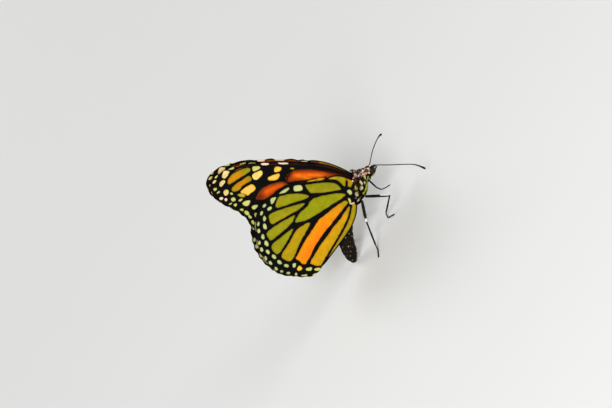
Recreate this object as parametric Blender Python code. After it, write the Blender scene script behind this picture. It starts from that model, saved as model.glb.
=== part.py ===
"""Monarch butterfly, life size, standing with its wings closed and its abdomen curled down.

Sizes are in millimetres and become metres once, when a mesh is made. +X points ahead,
+Y to the butterfly's left and +Z up. Points are given from the floor under the middle of
the thorax, and AHEAD moves them so that the origin lies under the middle of the model.
"""

import math

import bmesh
import bpy
import numpy as np
from mathutils import Vector
from mathutils.geometry import delaunay_2d_cdt

MM = 0.001
GAP = 0.3
AHEAD = 8.9
ASIDE = 0.1
MERGE = 0.01
SHARP_ANGLE = 40

# Body lengths: distance ahead, height, half width, half height
THORAX = (
    (-5.2, 12.1, 1.7, 2.3), (-3.8, 12.5, 2.3, 3.1), (-1.6, 13.1, 3.0, 3.75),
    (1.0, 13.6, 2.9, 3.55), (3.4, 13.85, 2.35, 2.95), (4.9, 13.5, 1.8, 2.3),
)
COLLAR = ((5.2, 13.1, 1.5, 1.9), (5.35, 13.05, 1.7, 2.1), (5.5, 13.0, 1.5, 1.9))
HEAD = (
    (5.8, 12.7, 1.35, 1.95), (6.4, 12.4, 1.4, 2.05), (7.2, 12.3, 1.35, 1.8),
    (7.9, 12.35, 1.1, 1.3), (8.4, 12.5, 0.65, 0.7),
)
ABDOMEN = (
    (-5.5, 12.0, 1.7, 2.2), (-8.0, 11.7, 2.3, 2.6), (-11.0, 10.7, 2.5, 2.7),
    (-14.3, 8.8, 2.5, 2.75), (-17.2, 6.3, 2.45, 2.7), (-19.3, 3.7, 2.1, 2.3),
    (-20.5, 1.6, 1.5, 1.65), (-20.9, 0.0, 0.95, 1.05),
)
ABDOMEN_LENGTHS = ("abdomen_base", "abdomen_middle", "abdomen_rear", "abdomen_tip")
ABDOMEN_STEP = 0.05
SEGMENTS_PER_LENGTH = 2
RINGS_PER_SEGMENT = 4
SEGMENT_DEPTH = 0.06
BODY_POWER = 2.4
BODY_SIDES = 20
BODY_STEPS = 3
CURVE_STEPS = 4
OVAL_RINGS = 10
LOBE_RINGS = 8

EYE_PLACE = (7.0, 1.35, 11.9)
EYE_RADII = (1.2, 0.85, 1.2)
TEGULA_PLACE = (3.5, 1.75, 16.2)
TEGULA_RADII = (0.8, 0.6, 0.85)

PALP = ((7.3, 0.75, 11.0), (7.9, 0.85, 11.1), (8.5, 0.85, 11.25), (8.95, 0.8, 11.6))
PALP_RADII = (0.42, 0.44, 0.38, 0.15)

# Each feeler's route from the brow to the tip of its club
ANTENNA_RIGHT = (
    (7.9, -0.65, 12.9), (8.9, -1.9, 12.4), (11.0, -5.6, 10.2), (13.2, -9.3, 8.0),
    (14.9, -12.0, 6.0), (15.5, -13.1, 4.2), (15.7, -13.8, 2.2),
)
ANTENNA_LEFT = (
    (7.8, 0.65, 13.0), (9.1, 1.9, 12.7), (12.3, 5.4, 12.2), (15.4, 9.1, 11.0),
    (17.5, 12.0, 9.7), (18.4, 13.3, 8.9), (18.8, 14.0, 8.3),
)
ANTENNA_RADII = (0.3, 0.26, 0.25, 0.25, 0.28, 0.45, 0.25)

# Hip, knee, heel, ball of the foot and toe of each leg
LEGS = {
    "foreleg_right": ((3.7, -1.7, 11.3), (3.0, -2.6, 8.5), (3.2, -2.6, 6.6),
                      (4.4, -2.6, 5.6), (5.8, -2.6, 4.8)),
    "foreleg_left": ((3.6, 1.7, 11.3), (2.5, 2.9, 9.7), (4.1, 2.8, 9.2),
                     (4.7, 2.7, 9.4), (5.3, 2.5, 9.7)),
    "midleg_right": ((-1.2, -2.4, 10.1), (2.8, -8.2, 5.7), (-2.5, -3.2, 1.3),
                     (-3.4, -3.9, 0.2), (-1.7, -6.6, 0.2)),
    "midleg_left": ((-1.2, 2.4, 10.1), (-2.2, 8.7, 6.0), (-6.0, 11.0, 1.2),
                    (-6.5, 12.1, 0.2), (-5.7, 13.8, 0.2)),
    "hindleg_right": ((-3.0, -2.4, 10.4), (-7.9, -6.9, 7.7), (-13.0, -8.1, 1.2),
                      (-14.0, -9.4, 0.2), (-15.8, -12.1, 0.2)),
    "hindleg_left": ((-3.0, 2.4, 10.4), (-9.0, 6.6, 7.9), (-15.0, 9.0, 1.2),
                     (-16.1, 10.2, 0.2), (-18.4, 12.6, 0.2)),
}
FEMUR_RADII = (0.36, 0.44, 0.42, 0.3)
TIBIA_RADII = (0.26, 0.29, 0.29, 0.27)
TARSUS_RADII = (0.27, 0.26, 0.25, 0.2)
FORELEG_THINNER = 0.85
FEMUR_STEPS = 4
TIBIA_STEPS = 3
TARSUS_STEPS = 2

# Wing outlines in the plane of the closed wings: distance ahead, height
FOREWING = (
    (0.4, 15.0), (2.4, 15.6), (2.4, 20.8), (1.0, 27.5), (-3.1, 36.9), (-7.9, 45.8),
    (-13.2, 53.4), (-16.6, 56.7), (-20.0, 58.4), (-22.8, 58.2), (-24.7, 56.5),
    (-25.9, 54.0), (-26.1, 50.3), (-25.8, 46.0), (-26.2, 41.5), (-27.8, 37.6),
    (-28.0, 35.0), (-26.0, 32.6), (-20.0, 28.0), (-11.0, 21.0), (-4.5, 16.8),
)
HINDWING = (
    (0.6, 15.6), (1.5, 17.2), (1.2, 19.8), (0.0, 22.4), (-1.4, 24.2), (-3.7, 26.0),
    (-5.6, 28.7), (-9.8, 35.0), (-12.8, 37.4), (-16.6, 39.2), (-20.5, 40.2), (-24.0, 39.9),
    (-28.3, 37.2), (-32.3, 33.7), (-34.9, 29.4), (-36.1, 25.4), (-36.2, 21.6),
    (-34.6, 17.2), (-32.4, 12.9), (-29.8, 10.9), (-24.1, 10.2), (-15.4, 9.3),
    (-11.4, 9.2), (-7.8, 9.9), (-5.2, 11.2), (-4.2, 12.6), (-2.2, 13.8),
)

# Main veins in the same plane, each from its root or fork towards the margin
FOREWING_VEINS = {
    "subcosta": ((1.9, 17.4), (1.7, 21.0), (0.2, 27.0), (-1.9, 33.0)),
    "radius": ((1.3, 17.6), (1.0, 20.6), (-0.3, 24.8), (-1.6, 28.8), (-3.3, 32.8), (-5.3, 36.3)),
    "radius_1": ((-1.6, 28.8), (-3.6, 34.4), (-5.6, 39.4)),
    "radius_2": ((-3.3, 32.8), (-6.2, 39.8), (-8.8, 45.6)),
    "radius_3": ((-7.3, 41.8), (-9.0, 46.0), (-11.6, 50.4), (-14.6, 54.0)),
    "radius_4": ((-11.4, 49.5), (-13.2, 52.2), (-16.2, 55.0), (-19.6, 57.0)),
    "radius_5": ((-5.3, 36.3), (-7.3, 41.8), (-9.2, 46.2), (-11.4, 49.5), (-14.0, 52.2),
                 (-18.0, 54.8), (-22.8, 57.0)),
    "media_1": ((-6.2, 36.4), (-7.3, 38.3), (-8.4, 39.9), (-9.4, 41.8), (-10.0, 44.2),
                (-10.5, 45.9), (-11.7, 47.0), (-14.1, 48.9), (-17.7, 51.0), (-20.0, 52.1),
                (-24.8, 54.4)),
    "media_2": ((-7.9, 36.5), (-9.0, 38.0), (-11.3, 39.2), (-12.3, 40.6), (-13.2, 43.0),
                (-14.7, 45.4), (-17.2, 47.4), (-19.9, 48.5), (-25.2, 50.2)),
    "media_3": ((-9.3, 36.1), (-10.5, 38.0), (-12.3, 40.0), (-14.1, 41.6), (-16.2, 42.7),
                (-19.0, 42.9), (-21.6, 42.6), (-25.7, 43.4)),
    "cubitus": ((-0.2, 17.2), (-1.2, 20.9), (-2.3, 24.4), (-3.4, 26.7), (-4.8, 28.5),
                (-6.5, 30.6), (-7.9, 33.2), (-9.3, 36.1)),
    "cubitus_1": ((-7.6, 32.4), (-10.4, 34.6), (-14.0, 36.6), (-18.6, 38.8), (-22.5, 40.4),
                  (-25.6, 41.2)),
    "cubitus_2": ((-4.2, 27.2), (-9.0, 30.4), (-15.0, 33.4), (-21.0, 35.8), (-26.9, 37.6)),
    "anal": ((-2.2, 17.0), (-7.0, 20.8), (-14.0, 25.6), (-21.0, 30.4), (-26.6, 34.2)),
    "cell_end": ((-5.3, 36.3), (-6.2, 36.4), (-7.9, 36.5), (-9.3, 36.1)),
}
HINDWING_VEINS = {
    "subcosta": ((-2.4, 16.6), (-2.5, 18.6), (-2.4, 21.6), (-3.6, 24.6), (-5.9, 28.2),
                 (-8.0, 31.6), (-10.3, 34.4), (-13.2, 36.6), (-17.4, 38.6)),
    "humeral": ((-2.2, 17.4), (-0.8, 18.0), (0.3, 18.6)),
    "radius": ((-2.6, 16.4), (-3.5, 18.6), (-4.8, 20.5), (-7.5, 23.9), (-9.3, 26.9),
               (-9.8, 29.4), (-11.0, 32.1), (-12.7, 34.4), (-15.2, 36.6), (-18.6, 38.2)),
    "media_1": ((-11.3, 26.8), (-12.8, 28.5), (-15.7, 31.4), (-19.7, 35.3), (-24.0, 38.7)),
    "media_2": ((-16.0, 27.9), (-18.5, 29.6), (-21.4, 31.8), (-25.3, 34.1), (-29.0, 36.0)),
    "media_3": ((-20.9, 26.9), (-23.2, 28.3), (-26.6, 29.7), (-29.4, 30.8), (-33.0, 31.9)),
    "cubitus": ((-3.9, 15.2), (-7.0, 16.9), (-9.8, 18.7), (-12.7, 20.5), (-15.0, 21.9),
                (-17.7, 23.8), (-19.7, 25.3), (-20.9, 26.9)),
    "cubitus_1": ((-20.1, 25.7), (-22.7, 25.5), (-26.8, 25.6), (-30.7, 25.8), (-35.2, 26.4)),
    "cubitus_2": ((-14.4, 21.6), (-18.0, 21.6), (-23.3, 21.3), (-28.5, 20.9), (-34.9, 20.4)),
    "anal_1": ((-4.4, 14.6), (-7.4, 14.8), (-12.8, 15.6), (-18.4, 15.8), (-24.0, 15.8),
               (-28.8, 15.8), (-33.0, 15.6)),
    "anal_2": ((-5.0, 13.8), (-7.4, 12.9), (-11.2, 12.1), (-15.9, 11.6), (-20.6, 11.4),
               (-25.1, 11.4), (-28.8, 11.6)),
    "cell_end": ((-9.3, 26.9), (-10.6, 26.6), (-12.2, 26.9), (-14.5, 27.4), (-16.7, 28.0),
                 (-19.0, 27.7), (-20.9, 26.9)),
}
VEIN_STEP = 2.0
VEIN_HALF_WIDTH = 0.42
VEIN_RISE = 0.17
FLANK_CLEARANCE = 1.25
WING_THICKNESS = 0.5
WING_STEP = 1.6
OUTLINE_STEPS = 8
FOREWING_ROOT_ASIDE = 1.0
FOREWING_TIP_ASIDE = 1.35
ROOT_HEIGHT = 16.0
TIP_HEIGHT = 58.0
HINDWING_OUTSIDE = 1.15
BELLY_FRONT = (-6.0, 12.0)
BELLY_REAR = (-18.0, 6.0)
BELLY_BULGE = 0.9
BELLY_REACH = 5.0
INFILL_STEP = 4.0

BLACK = (0.018, 0.015, 0.014)
BROWN = (0.05, 0.035, 0.025)
ORANGE = (0.62, 0.16, 0.01)
OCHRE = (0.45, 0.26, 0.02)
FURRY = 0.8
SCALY = 0.6
SHELL = 0.5
GLOSSY = 0.25


def clear_scene():
    for item in list(bpy.data.objects):
        bpy.data.objects.remove(item, do_unlink=True)


def collection(name):
    made = bpy.data.collections.new(name)
    bpy.context.scene.collection.children.link(made)
    return made


def place(x, y, z):
    """A point of the butterfly in the model's frame, in metres."""
    return Vector((x + AHEAD, y + ASIDE, z)) * MM


def material(name, colour, roughness):
    made = bpy.data.materials.new(name)
    made.use_nodes = True
    shader = made.node_tree.nodes["Principled BSDF"]
    shader.inputs["Base Color"].default_value = (*colour, 1.0)
    shader.inputs["Roughness"].default_value = roughness
    made.diffuse_color = (*colour, 1.0)
    return made


def shade(mesh):
    mesh.shade_smooth()
    mesh.set_sharp_from_angle(angle=math.radians(SHARP_ANGLE))


def node(name, mesh, colour, roughness):
    """A finished sub-part with its own material, in the butterfly's collection."""
    made = bpy.data.objects.new(name, mesh)
    PARTS.objects.link(made)
    mesh.materials.clear()
    mesh.materials.append(material(name, colour, roughness))
    shade(mesh)
    return made


def cutter(name, mesh):
    made = bpy.data.objects.new(name, mesh)
    CUTTERS.objects.link(made)
    made.hide_render = True
    made.display_type = "WIRE"
    return made


def smooth(points, steps, closed=False):
    """A Catmull-Rom curve through the points, with the same number of steps in each span."""
    given = [np.array(p, float) for p in points]
    count = len(given)
    spans = count if closed else count - 1
    curve = []
    for i in range(spans):
        before = given[i - 1] if closed or i else given[0]
        here = given[i]
        there = given[(i + 1) % count]
        after = given[(i + 2) % count] if closed or i + 2 < count else there
        for step in range(steps):
            t = step / steps
            curve.append(0.5 * (
                2 * here + (there - before) * t
                + (2 * before - 5 * here + 4 * there - after) * t ** 2
                + (3 * here - before - 3 * there + after) * t ** 3
            ))
    if not closed:
        curve.append(given[-1])
    return curve


def even(points, step):
    """The same line with its points an even step apart."""
    line = np.array(points)
    run = np.concatenate(([0], np.cumsum(np.linalg.norm(np.diff(line, axis=0), axis=1))))
    marks = np.linspace(0, run[-1], max(2, round(run[-1] / step)) + 1)
    return np.stack([np.interp(marks, run, line[:, k]) for k in range(line.shape[1])], axis=1)


def ring(x, z, half_width, half_height, pitch):
    """One cross-section: a full oval square to the line of the body."""
    points = []
    for i in range(BODY_SIDES):
        turn = 2 * math.pi * (i + 0.5) / BODY_SIDES
        across = math.copysign(abs(math.cos(turn)) ** (2 / BODY_POWER), math.cos(turn)) * half_width
        up = math.copysign(abs(math.sin(turn)) ** (2 / BODY_POWER), math.sin(turn)) * half_height
        points.append(place(x - math.sin(pitch) * up, across, z + math.cos(pitch) * up))
    return points


def loft(name, rings):
    """A closed skin over a row of rings, with a flat face at each end."""
    shape = bmesh.new()
    rows = [[shape.verts.new(point) for point in points] for points in rings]
    for row, following in zip(rows, rows[1:]):
        for i in range(len(row)):
            j = (i + 1) % len(row)
            shape.faces.new((row[i], row[j], following[j], following[i]))
    shape.faces.new(rows[0][::-1])
    shape.faces.new(rows[-1])
    bmesh.ops.recalc_face_normals(shape, faces=shape.faces)
    mesh = bpy.data.meshes.new(name)
    shape.to_mesh(mesh)
    shape.free()
    return mesh


def straight_body(name, stations, grow=0.0):
    """A level length of the body; grow makes it larger all round, for a cutter."""
    rows = smooth(stations, BODY_STEPS)
    rings = [ring(x, z, width + grow, height + grow, 0.0) for x, z, width, height in rows]
    if grow:
        x, z, width, height = rows[0]
        rings.insert(0, ring(x - grow, z, width, height, 0.0))
        x, z, width, height = rows[-1]
        rings.append(ring(x + grow, z, width, height, 0.0))
    return loft(name, rings)


def trim(piece, cut):
    """Cut a piece back from what carries it, and keep the largest closed surface."""
    knife = piece.modifiers.new("clearance", "BOOLEAN")
    knife.operation = "DIFFERENCE"
    knife.solver = "EXACT"
    knife.object = cut
    graph = bpy.context.evaluated_depsgraph_get()
    mesh = bpy.data.meshes.new_from_object(piece.evaluated_get(graph))
    piece.modifiers.remove(knife)
    mesh.name = piece.name
    piece.data = mesh
    drop_scraps(mesh)
    shade(mesh)


def drop_scraps(mesh):
    shape = bmesh.new()
    shape.from_mesh(mesh)
    bmesh.ops.remove_doubles(shape, verts=shape.verts, dist=MERGE * MM)
    bmesh.ops.dissolve_degenerate(shape, edges=shape.edges, dist=MERGE * MM)
    largest = max(islands(shape), key=len)
    loose = [corner for corner in shape.verts if corner not in largest]
    bmesh.ops.delete(shape, geom=loose, context="VERTS")
    shape.to_mesh(mesh)
    shape.free()


def islands(shape):
    """The corners of each closed surface in a mesh."""
    found = []
    left = set(shape.verts)
    while left:
        island = set()
        front = [left.pop()]
        while front:
            corner = front.pop()
            island.add(corner)
            near = {edge.other_vert(corner) for edge in corner.link_edges} & left
            left -= near
            front.extend(near)
        found.append(island)
    return found


def oval(name, centre, radii, rings):
    shape = bmesh.new()
    bmesh.ops.create_uvsphere(shape, u_segments=2 * rings, v_segments=rings, radius=MM)
    bmesh.ops.scale(shape, verts=shape.verts, vec=radii)
    bmesh.ops.translate(shape, verts=shape.verts, vec=place(*centre))
    mesh = bpy.data.meshes.new(name)
    shape.to_mesh(mesh)
    shape.free()
    return mesh


def bevelled(name, points, radii):
    """A curve with a round bevel, made a mesh."""
    curve = bpy.data.curves.new(name, "CURVE")
    curve.dimensions = "3D"
    curve.bevel_depth = MM
    curve.bevel_resolution = 2
    curve.use_fill_caps = True
    spline = curve.splines.new("POLY")
    spline.points.add(len(points) - 1)
    widths = np.interp(np.linspace(0, 1, len(points)), np.linspace(0, 1, len(radii)), radii)
    for target, point, width in zip(spline.points, points, widths):
        target.co = (*place(*point), 1.0)
        target.radius = width
    guide = bpy.data.objects.new(name, curve)
    CUTTERS.objects.link(guide)
    graph = bpy.context.evaluated_depsgraph_get()
    mesh = bpy.data.meshes.new_from_object(guide.evaluated_get(graph))
    bpy.data.objects.remove(guide)
    bpy.data.curves.remove(curve)
    return mesh


def tube(name, points, radii):
    """A closed tube along a line, flat where it would pass below the floor."""
    mesh = bevelled(name, points, radii)
    shape = bmesh.new()
    shape.from_mesh(mesh)
    bmesh.ops.remove_doubles(shape, verts=shape.verts, dist=MERGE * MM)
    everything = shape.verts[:] + shape.edges[:] + shape.faces[:]
    bmesh.ops.bisect_plane(shape, geom=everything, dist=MERGE * MM, plane_co=(0, 0, 0),
                           plane_no=(0, 0, 1), clear_inner=True)
    open_edges = [edge for edge in shape.edges if edge.is_boundary]
    if open_edges:
        bmesh.ops.holes_fill(shape, edges=open_edges, sides=0)
    bmesh.ops.recalc_face_normals(shape, faces=shape.faces)
    shape.to_mesh(mesh)
    shape.free()
    return mesh


def make_body():
    node("thorax", straight_body("thorax", THORAX), BLACK, FURRY)
    node("collar", straight_body("collar", COLLAR), BROWN, FURRY)
    node("head", straight_body("head", HEAD), BLACK, FURRY)
    make_abdomen()


def make_abdomen():
    """The abdomen in even lengths, each with the swell of its segments."""
    rows = even(smooth(ABDOMEN, CURVE_STEPS), ABDOMEN_STEP)
    slopes = np.gradient(rows[:, :2], axis=0)
    pitches = np.unwrap(np.arctan2(-slopes[:, 1], -slopes[:, 0]))
    pitches[-1] = math.pi / 2
    length = len(rows) / len(ABDOMEN_LENGTHS)
    clear = round(GAP / 2 / ABDOMEN_STEP)
    rings_each = RINGS_PER_SEGMENT * SEGMENTS_PER_LENGTH
    for number, name in enumerate(ABDOMEN_LENGTHS):
        first = round(number * length) + (clear if number else 0)
        last = round((number + 1) * length) - clear
        if name == ABDOMEN_LENGTHS[-1]:
            last = len(rows) - 1
        rings = []
        for step in range(rings_each + 1):
            index = round(first + (last - first) * step / rings_each)
            x, z, width, height = rows[index]
            phase = step / RINGS_PER_SEGMENT % 1.0
            swell = 1 - SEGMENT_DEPTH * (1 - math.sin(math.pi * phase))
            rings.append(ring(x, z, width * swell, height * swell, pitches[index]))
        node(name, loft(name, rings), BROWN, FURRY)


def make_head_pieces(head_cut):
    for side, sign in (("left", 1), ("right", -1)):
        x, y, z = EYE_PLACE
        name = f"eye_{side}"
        trim(node(name, oval(name, (x, sign * y, z), EYE_RADII, OVAL_RINGS), BLACK, GLOSSY), head_cut)
        name = f"palp_{side}"
        route = smooth([(x, sign * y, z) for x, y, z in PALP], BODY_STEPS)
        trim(node(name, tube(name, route, PALP_RADII), BROWN, FURRY), head_cut)
    for side, route in (("left", ANTENNA_LEFT), ("right", ANTENNA_RIGHT)):
        name = f"antenna_{side}"
        feeler = tube(name, smooth(route, CURVE_STEPS), ANTENNA_RADII)
        trim(node(name, feeler, BLACK, SHELL), head_cut)


def make_leg(name, stops, thorax_cut):
    """Three lengths of a leg, each starting clear of the one before it."""
    thinner = FORELEG_THINNER if name.startswith("foreleg") else 1.0
    hip, knee, heel, ball, toe = [Vector(stop) for stop in stops]
    femur = [hip.lerp(knee, t / FEMUR_STEPS) for t in range(FEMUR_STEPS + 1)]
    shin = knee + (heel - knee).normalized() * (GAP + FEMUR_RADII[-1] * thinner)
    tibia = [shin.lerp(heel, t / TIBIA_STEPS) for t in range(TIBIA_STEPS + 1)]
    ankle = heel + (ball - heel).normalized() * (GAP + TIBIA_RADII[-1] * thinner)
    tarsus = smooth([ankle, ball, ball.lerp(toe, 0.5), toe], TARSUS_STEPS)
    for part, route, radii in (("femur", femur, FEMUR_RADII), ("tibia", tibia, TIBIA_RADII),
                               ("tarsus", tarsus, TARSUS_RADII)):
        widths = [width * thinner for width in radii]
        full = f"{name}_{part}"
        length = node(full, tube(full, route, widths), BLACK, SHELL)
        if part == "femur":
            trim(length, thorax_cut)


def forewing_aside(x, z):
    """How far the middle of a forewing stands from the butterfly's middle plane."""
    rise = (z - ROOT_HEIGHT) / (TIP_HEIGHT - ROOT_HEIGHT)
    return FOREWING_ROOT_ASIDE + (FOREWING_TIP_ASIDE - FOREWING_ROOT_ASIDE) * rise


def hindwing_aside(x, z):
    """The hindwing lies outside the forewing and swells round the abdomen."""
    front = Vector(BELLY_FRONT)
    line = Vector(BELLY_REAR) - front
    share = min(1.0, max(0.0, (Vector((x, z)) - front).dot(line) / line.length_squared))
    away = (Vector((x, z)) - front - line * share).length
    swell = BELLY_BULGE * math.exp(-((away / BELLY_REACH) ** 2))
    return forewing_aside(x, z) + HINDWING_OUTSIDE + swell


def inside(point, outline):
    """Whether a point of the wing's plane lies within the outline."""
    x, z = point
    crossed = False
    for (ax, az), (bx, bz) in zip(outline, np.roll(outline, -1, axis=0)):
        if (az > z) != (bz > z) and x < ax + (bx - ax) * (z - az) / (bz - az):
            crossed = not crossed
    return crossed


def away_from(point, line):
    """The distance in the wing's plane from a point to a broken line."""
    start, end = line[:-1], line[1:]
    run = end - start
    share = np.clip(((point - start) * run).sum(axis=1) / (run ** 2).sum(axis=1), 0, 1)
    return float(np.linalg.norm(start + run * share[:, None] - point, axis=1).min())


def vein_points(crests, outline):
    """Points along the crest of each vein and at the foot of both its sides."""
    points = []
    ridges = []
    for crest in crests:
        first = len(points)
        points.extend(crest)
        ridges.extend((first + i, first + i + 1) for i in range(len(crest) - 1))
        others = [other for other in crests if other is not crest]
        for top, slope in zip(crest, np.gradient(crest, axis=0)):
            square = np.array((-slope[1], slope[0])) / np.linalg.norm(slope)
            for side in (1, -1):
                foot = top + side * VEIN_HALF_WIDTH * square
                apart = min(away_from(foot, other) for other in others)
                at_rim = np.linalg.norm(outline - foot, axis=1).min() < VEIN_HALF_WIDTH
                if apart > FLANK_CLEARANCE * VEIN_HALF_WIDTH and not at_rim and inside(foot, outline):
                    points.append(foot)
    return points, ridges


def infill(outline, taken):
    """Points spread over the wing, so that a curved membrane bends evenly."""
    low = outline.min(axis=0)
    high = outline.max(axis=0)
    rows = np.vstack((outline, taken))
    points = []
    for x in np.arange(low[0], high[0], INFILL_STEP):
        for z in np.arange(low[1], high[1], INFILL_STEP):
            clear = np.linalg.norm(rows - (x, z), axis=1).min()
            if clear > WING_STEP and inside((x, z), outline):
                points.append((x, z))
    return points


def wing_plan(outline, crests):
    """The wing's plane split into triangles that follow its rim and its veins."""
    loop = smooth(outline, OUTLINE_STEPS, closed=True)
    rim = even(loop + loop[:1], WING_STEP)[:-1]
    raised, ridges = vein_points(crests, rim)
    points = [*rim, *raised, *infill(rim, np.array(raised))]
    borders = [(i, (i + 1) % len(rim)) for i in range(len(rim))]
    borders += [(len(rim) + a, len(rim) + b) for a, b in ridges]
    corners = [Vector(point) for point in points]
    flat, _, triangles = delaunay_2d_cdt(corners, borders, [], 1, MERGE * MM)[:3]
    return flat, triangles


def open_sides(triangles):
    """The sides of the plan that only one triangle uses, in its own direction."""
    uses = {}
    for triangle in triangles:
        for a, b in zip(triangle, [*triangle[1:], triangle[0]]):
            uses.setdefault(frozenset((a, b)), []).append((a, b))
    return [sides[0] for sides in uses.values() if len(sides) == 1]


def wing(name, outline, veins, aside, sign):
    """A thin wing with raised veins, whose two faces are split into the same triangles."""
    crests = [even(smooth(route, CURVE_STEPS), VEIN_STEP) for route in veins.values()]
    flat, triangles = wing_plan(outline, crests)
    crowns = []
    for point in flat:
        nearest = min(away_from(np.array(point), crest) for crest in crests)
        crowns.append(VEIN_RISE * max(0.0, 1 - nearest / VEIN_HALF_WIDTH))
    shape = bmesh.new()
    faces = []
    for direction in (1, -1):
        corners = []
        for (x, z), crown in zip(flat, crowns):
            y = sign * (aside(x, z) + direction * (WING_THICKNESS / 2 + crown))
            corners.append(shape.verts.new(place(x, y, z)))
        for triangle in triangles:
            shape.faces.new([corners[i] for i in triangle])
        faces.append(corners)
    outer, inner = faces
    for a, b in open_sides(triangles):
        shape.faces.new((outer[a], outer[b], inner[b]))
        shape.faces.new((outer[a], inner[b], inner[a]))
    bmesh.ops.recalc_face_normals(shape, faces=shape.faces)
    mesh = bpy.data.meshes.new(name)
    shape.to_mesh(mesh)
    shape.free()
    return mesh


def make_wings(thorax_cut):
    for side, sign in (("left", 1), ("right", -1)):
        for name, outline, veins, aside, colour in (
            (f"forewing_{side}", FOREWING, FOREWING_VEINS, forewing_aside, ORANGE),
            (f"hindwing_{side}", HINDWING, HINDWING_VEINS, hindwing_aside, OCHRE),
        ):
            trim(node(name, wing(name, outline, veins, aside, sign), colour, SCALY), thorax_cut)
        x, y, z = TEGULA_PLACE
        name = f"tegula_{side}"
        lobe = oval(name, (x, sign * y, z), TEGULA_RADII, LOBE_RINGS)
        trim(node(name, lobe, BROWN, FURRY), thorax_cut)


def main():
    make_body()
    thorax_cut = cutter("thorax_clearance", straight_body("thorax_clearance", THORAX, grow=GAP))
    head_cut = cutter("head_clearance", straight_body("head_clearance", HEAD, grow=GAP))
    make_head_pieces(head_cut)
    for name, stops in LEGS.items():
        make_leg(name, stops, thorax_cut)
    make_wings(thorax_cut)


clear_scene()
PARTS = collection("monarch_butterfly")
CUTTERS = collection("clearances")
main()
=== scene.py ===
import math

import bpy
import numpy as np
from bpy.props import FloatProperty, FloatVectorProperty, IntProperty, PointerProperty
from bpy.types import Operator, Panel, PropertyGroup
from mathutils import Matrix, Vector
from mathutils.geometry import delaunay_2d_cdt


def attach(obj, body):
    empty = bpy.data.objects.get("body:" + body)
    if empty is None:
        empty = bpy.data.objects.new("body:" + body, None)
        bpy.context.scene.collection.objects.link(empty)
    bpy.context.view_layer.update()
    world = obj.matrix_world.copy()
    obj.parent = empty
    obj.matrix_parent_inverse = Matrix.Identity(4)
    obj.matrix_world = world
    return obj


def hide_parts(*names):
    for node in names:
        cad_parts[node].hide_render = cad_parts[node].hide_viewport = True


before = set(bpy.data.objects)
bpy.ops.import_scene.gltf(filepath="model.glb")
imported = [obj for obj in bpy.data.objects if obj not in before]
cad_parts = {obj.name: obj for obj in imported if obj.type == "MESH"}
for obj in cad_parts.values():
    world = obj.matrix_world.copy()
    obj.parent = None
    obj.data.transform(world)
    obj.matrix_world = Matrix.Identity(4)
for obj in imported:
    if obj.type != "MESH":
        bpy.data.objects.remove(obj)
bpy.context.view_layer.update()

bl_info = {
    "name": "Monarch Butterfly Finish",
    "version": (1, 0, 0),
    "blender": (4, 5, 0),
    "location": "View3D > Sidebar > Monarch",
    "description": "Gives the solid butterfly its wings, coat, eyes, feelers and legs",
    "category": "Add Mesh",
}

MM = 0.001
# The butterfly is measured from the floor under the middle of its thorax
AHEAD = 8.9
ASIDE = 0.1

# Wing outlines in the plane of the closed wings: distance ahead, height
FOREWING = (
    (0.4, 15.0), (2.4, 15.6), (2.4, 20.8), (1.0, 27.5), (-3.1, 36.9), (-7.9, 45.8),
    (-13.2, 53.4), (-16.6, 56.7), (-20.0, 58.4), (-22.8, 58.2), (-24.7, 56.5),
    (-25.9, 54.0), (-26.1, 50.3), (-25.8, 46.0), (-26.2, 41.5), (-27.8, 37.6),
    (-28.0, 35.0), (-26.0, 32.6), (-20.0, 28.0), (-11.0, 21.0), (-4.5, 16.8),
)
HINDWING = (
    (0.6, 15.6), (1.5, 17.2), (1.2, 19.8), (0.0, 22.4), (-1.4, 24.2), (-3.7, 26.0),
    (-5.6, 28.7), (-9.8, 35.0), (-12.8, 37.4), (-16.6, 39.2), (-20.5, 40.2), (-24.0, 39.9),
    (-28.3, 37.2), (-32.3, 33.7), (-34.9, 29.4), (-36.1, 25.4), (-36.2, 21.6),
    (-34.6, 17.2), (-32.4, 12.9), (-29.8, 10.9), (-24.1, 10.2), (-15.4, 9.3),
    (-11.4, 9.2), (-7.8, 9.9), (-5.2, 11.2), (-4.2, 12.6), (-2.2, 13.8),
)
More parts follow.
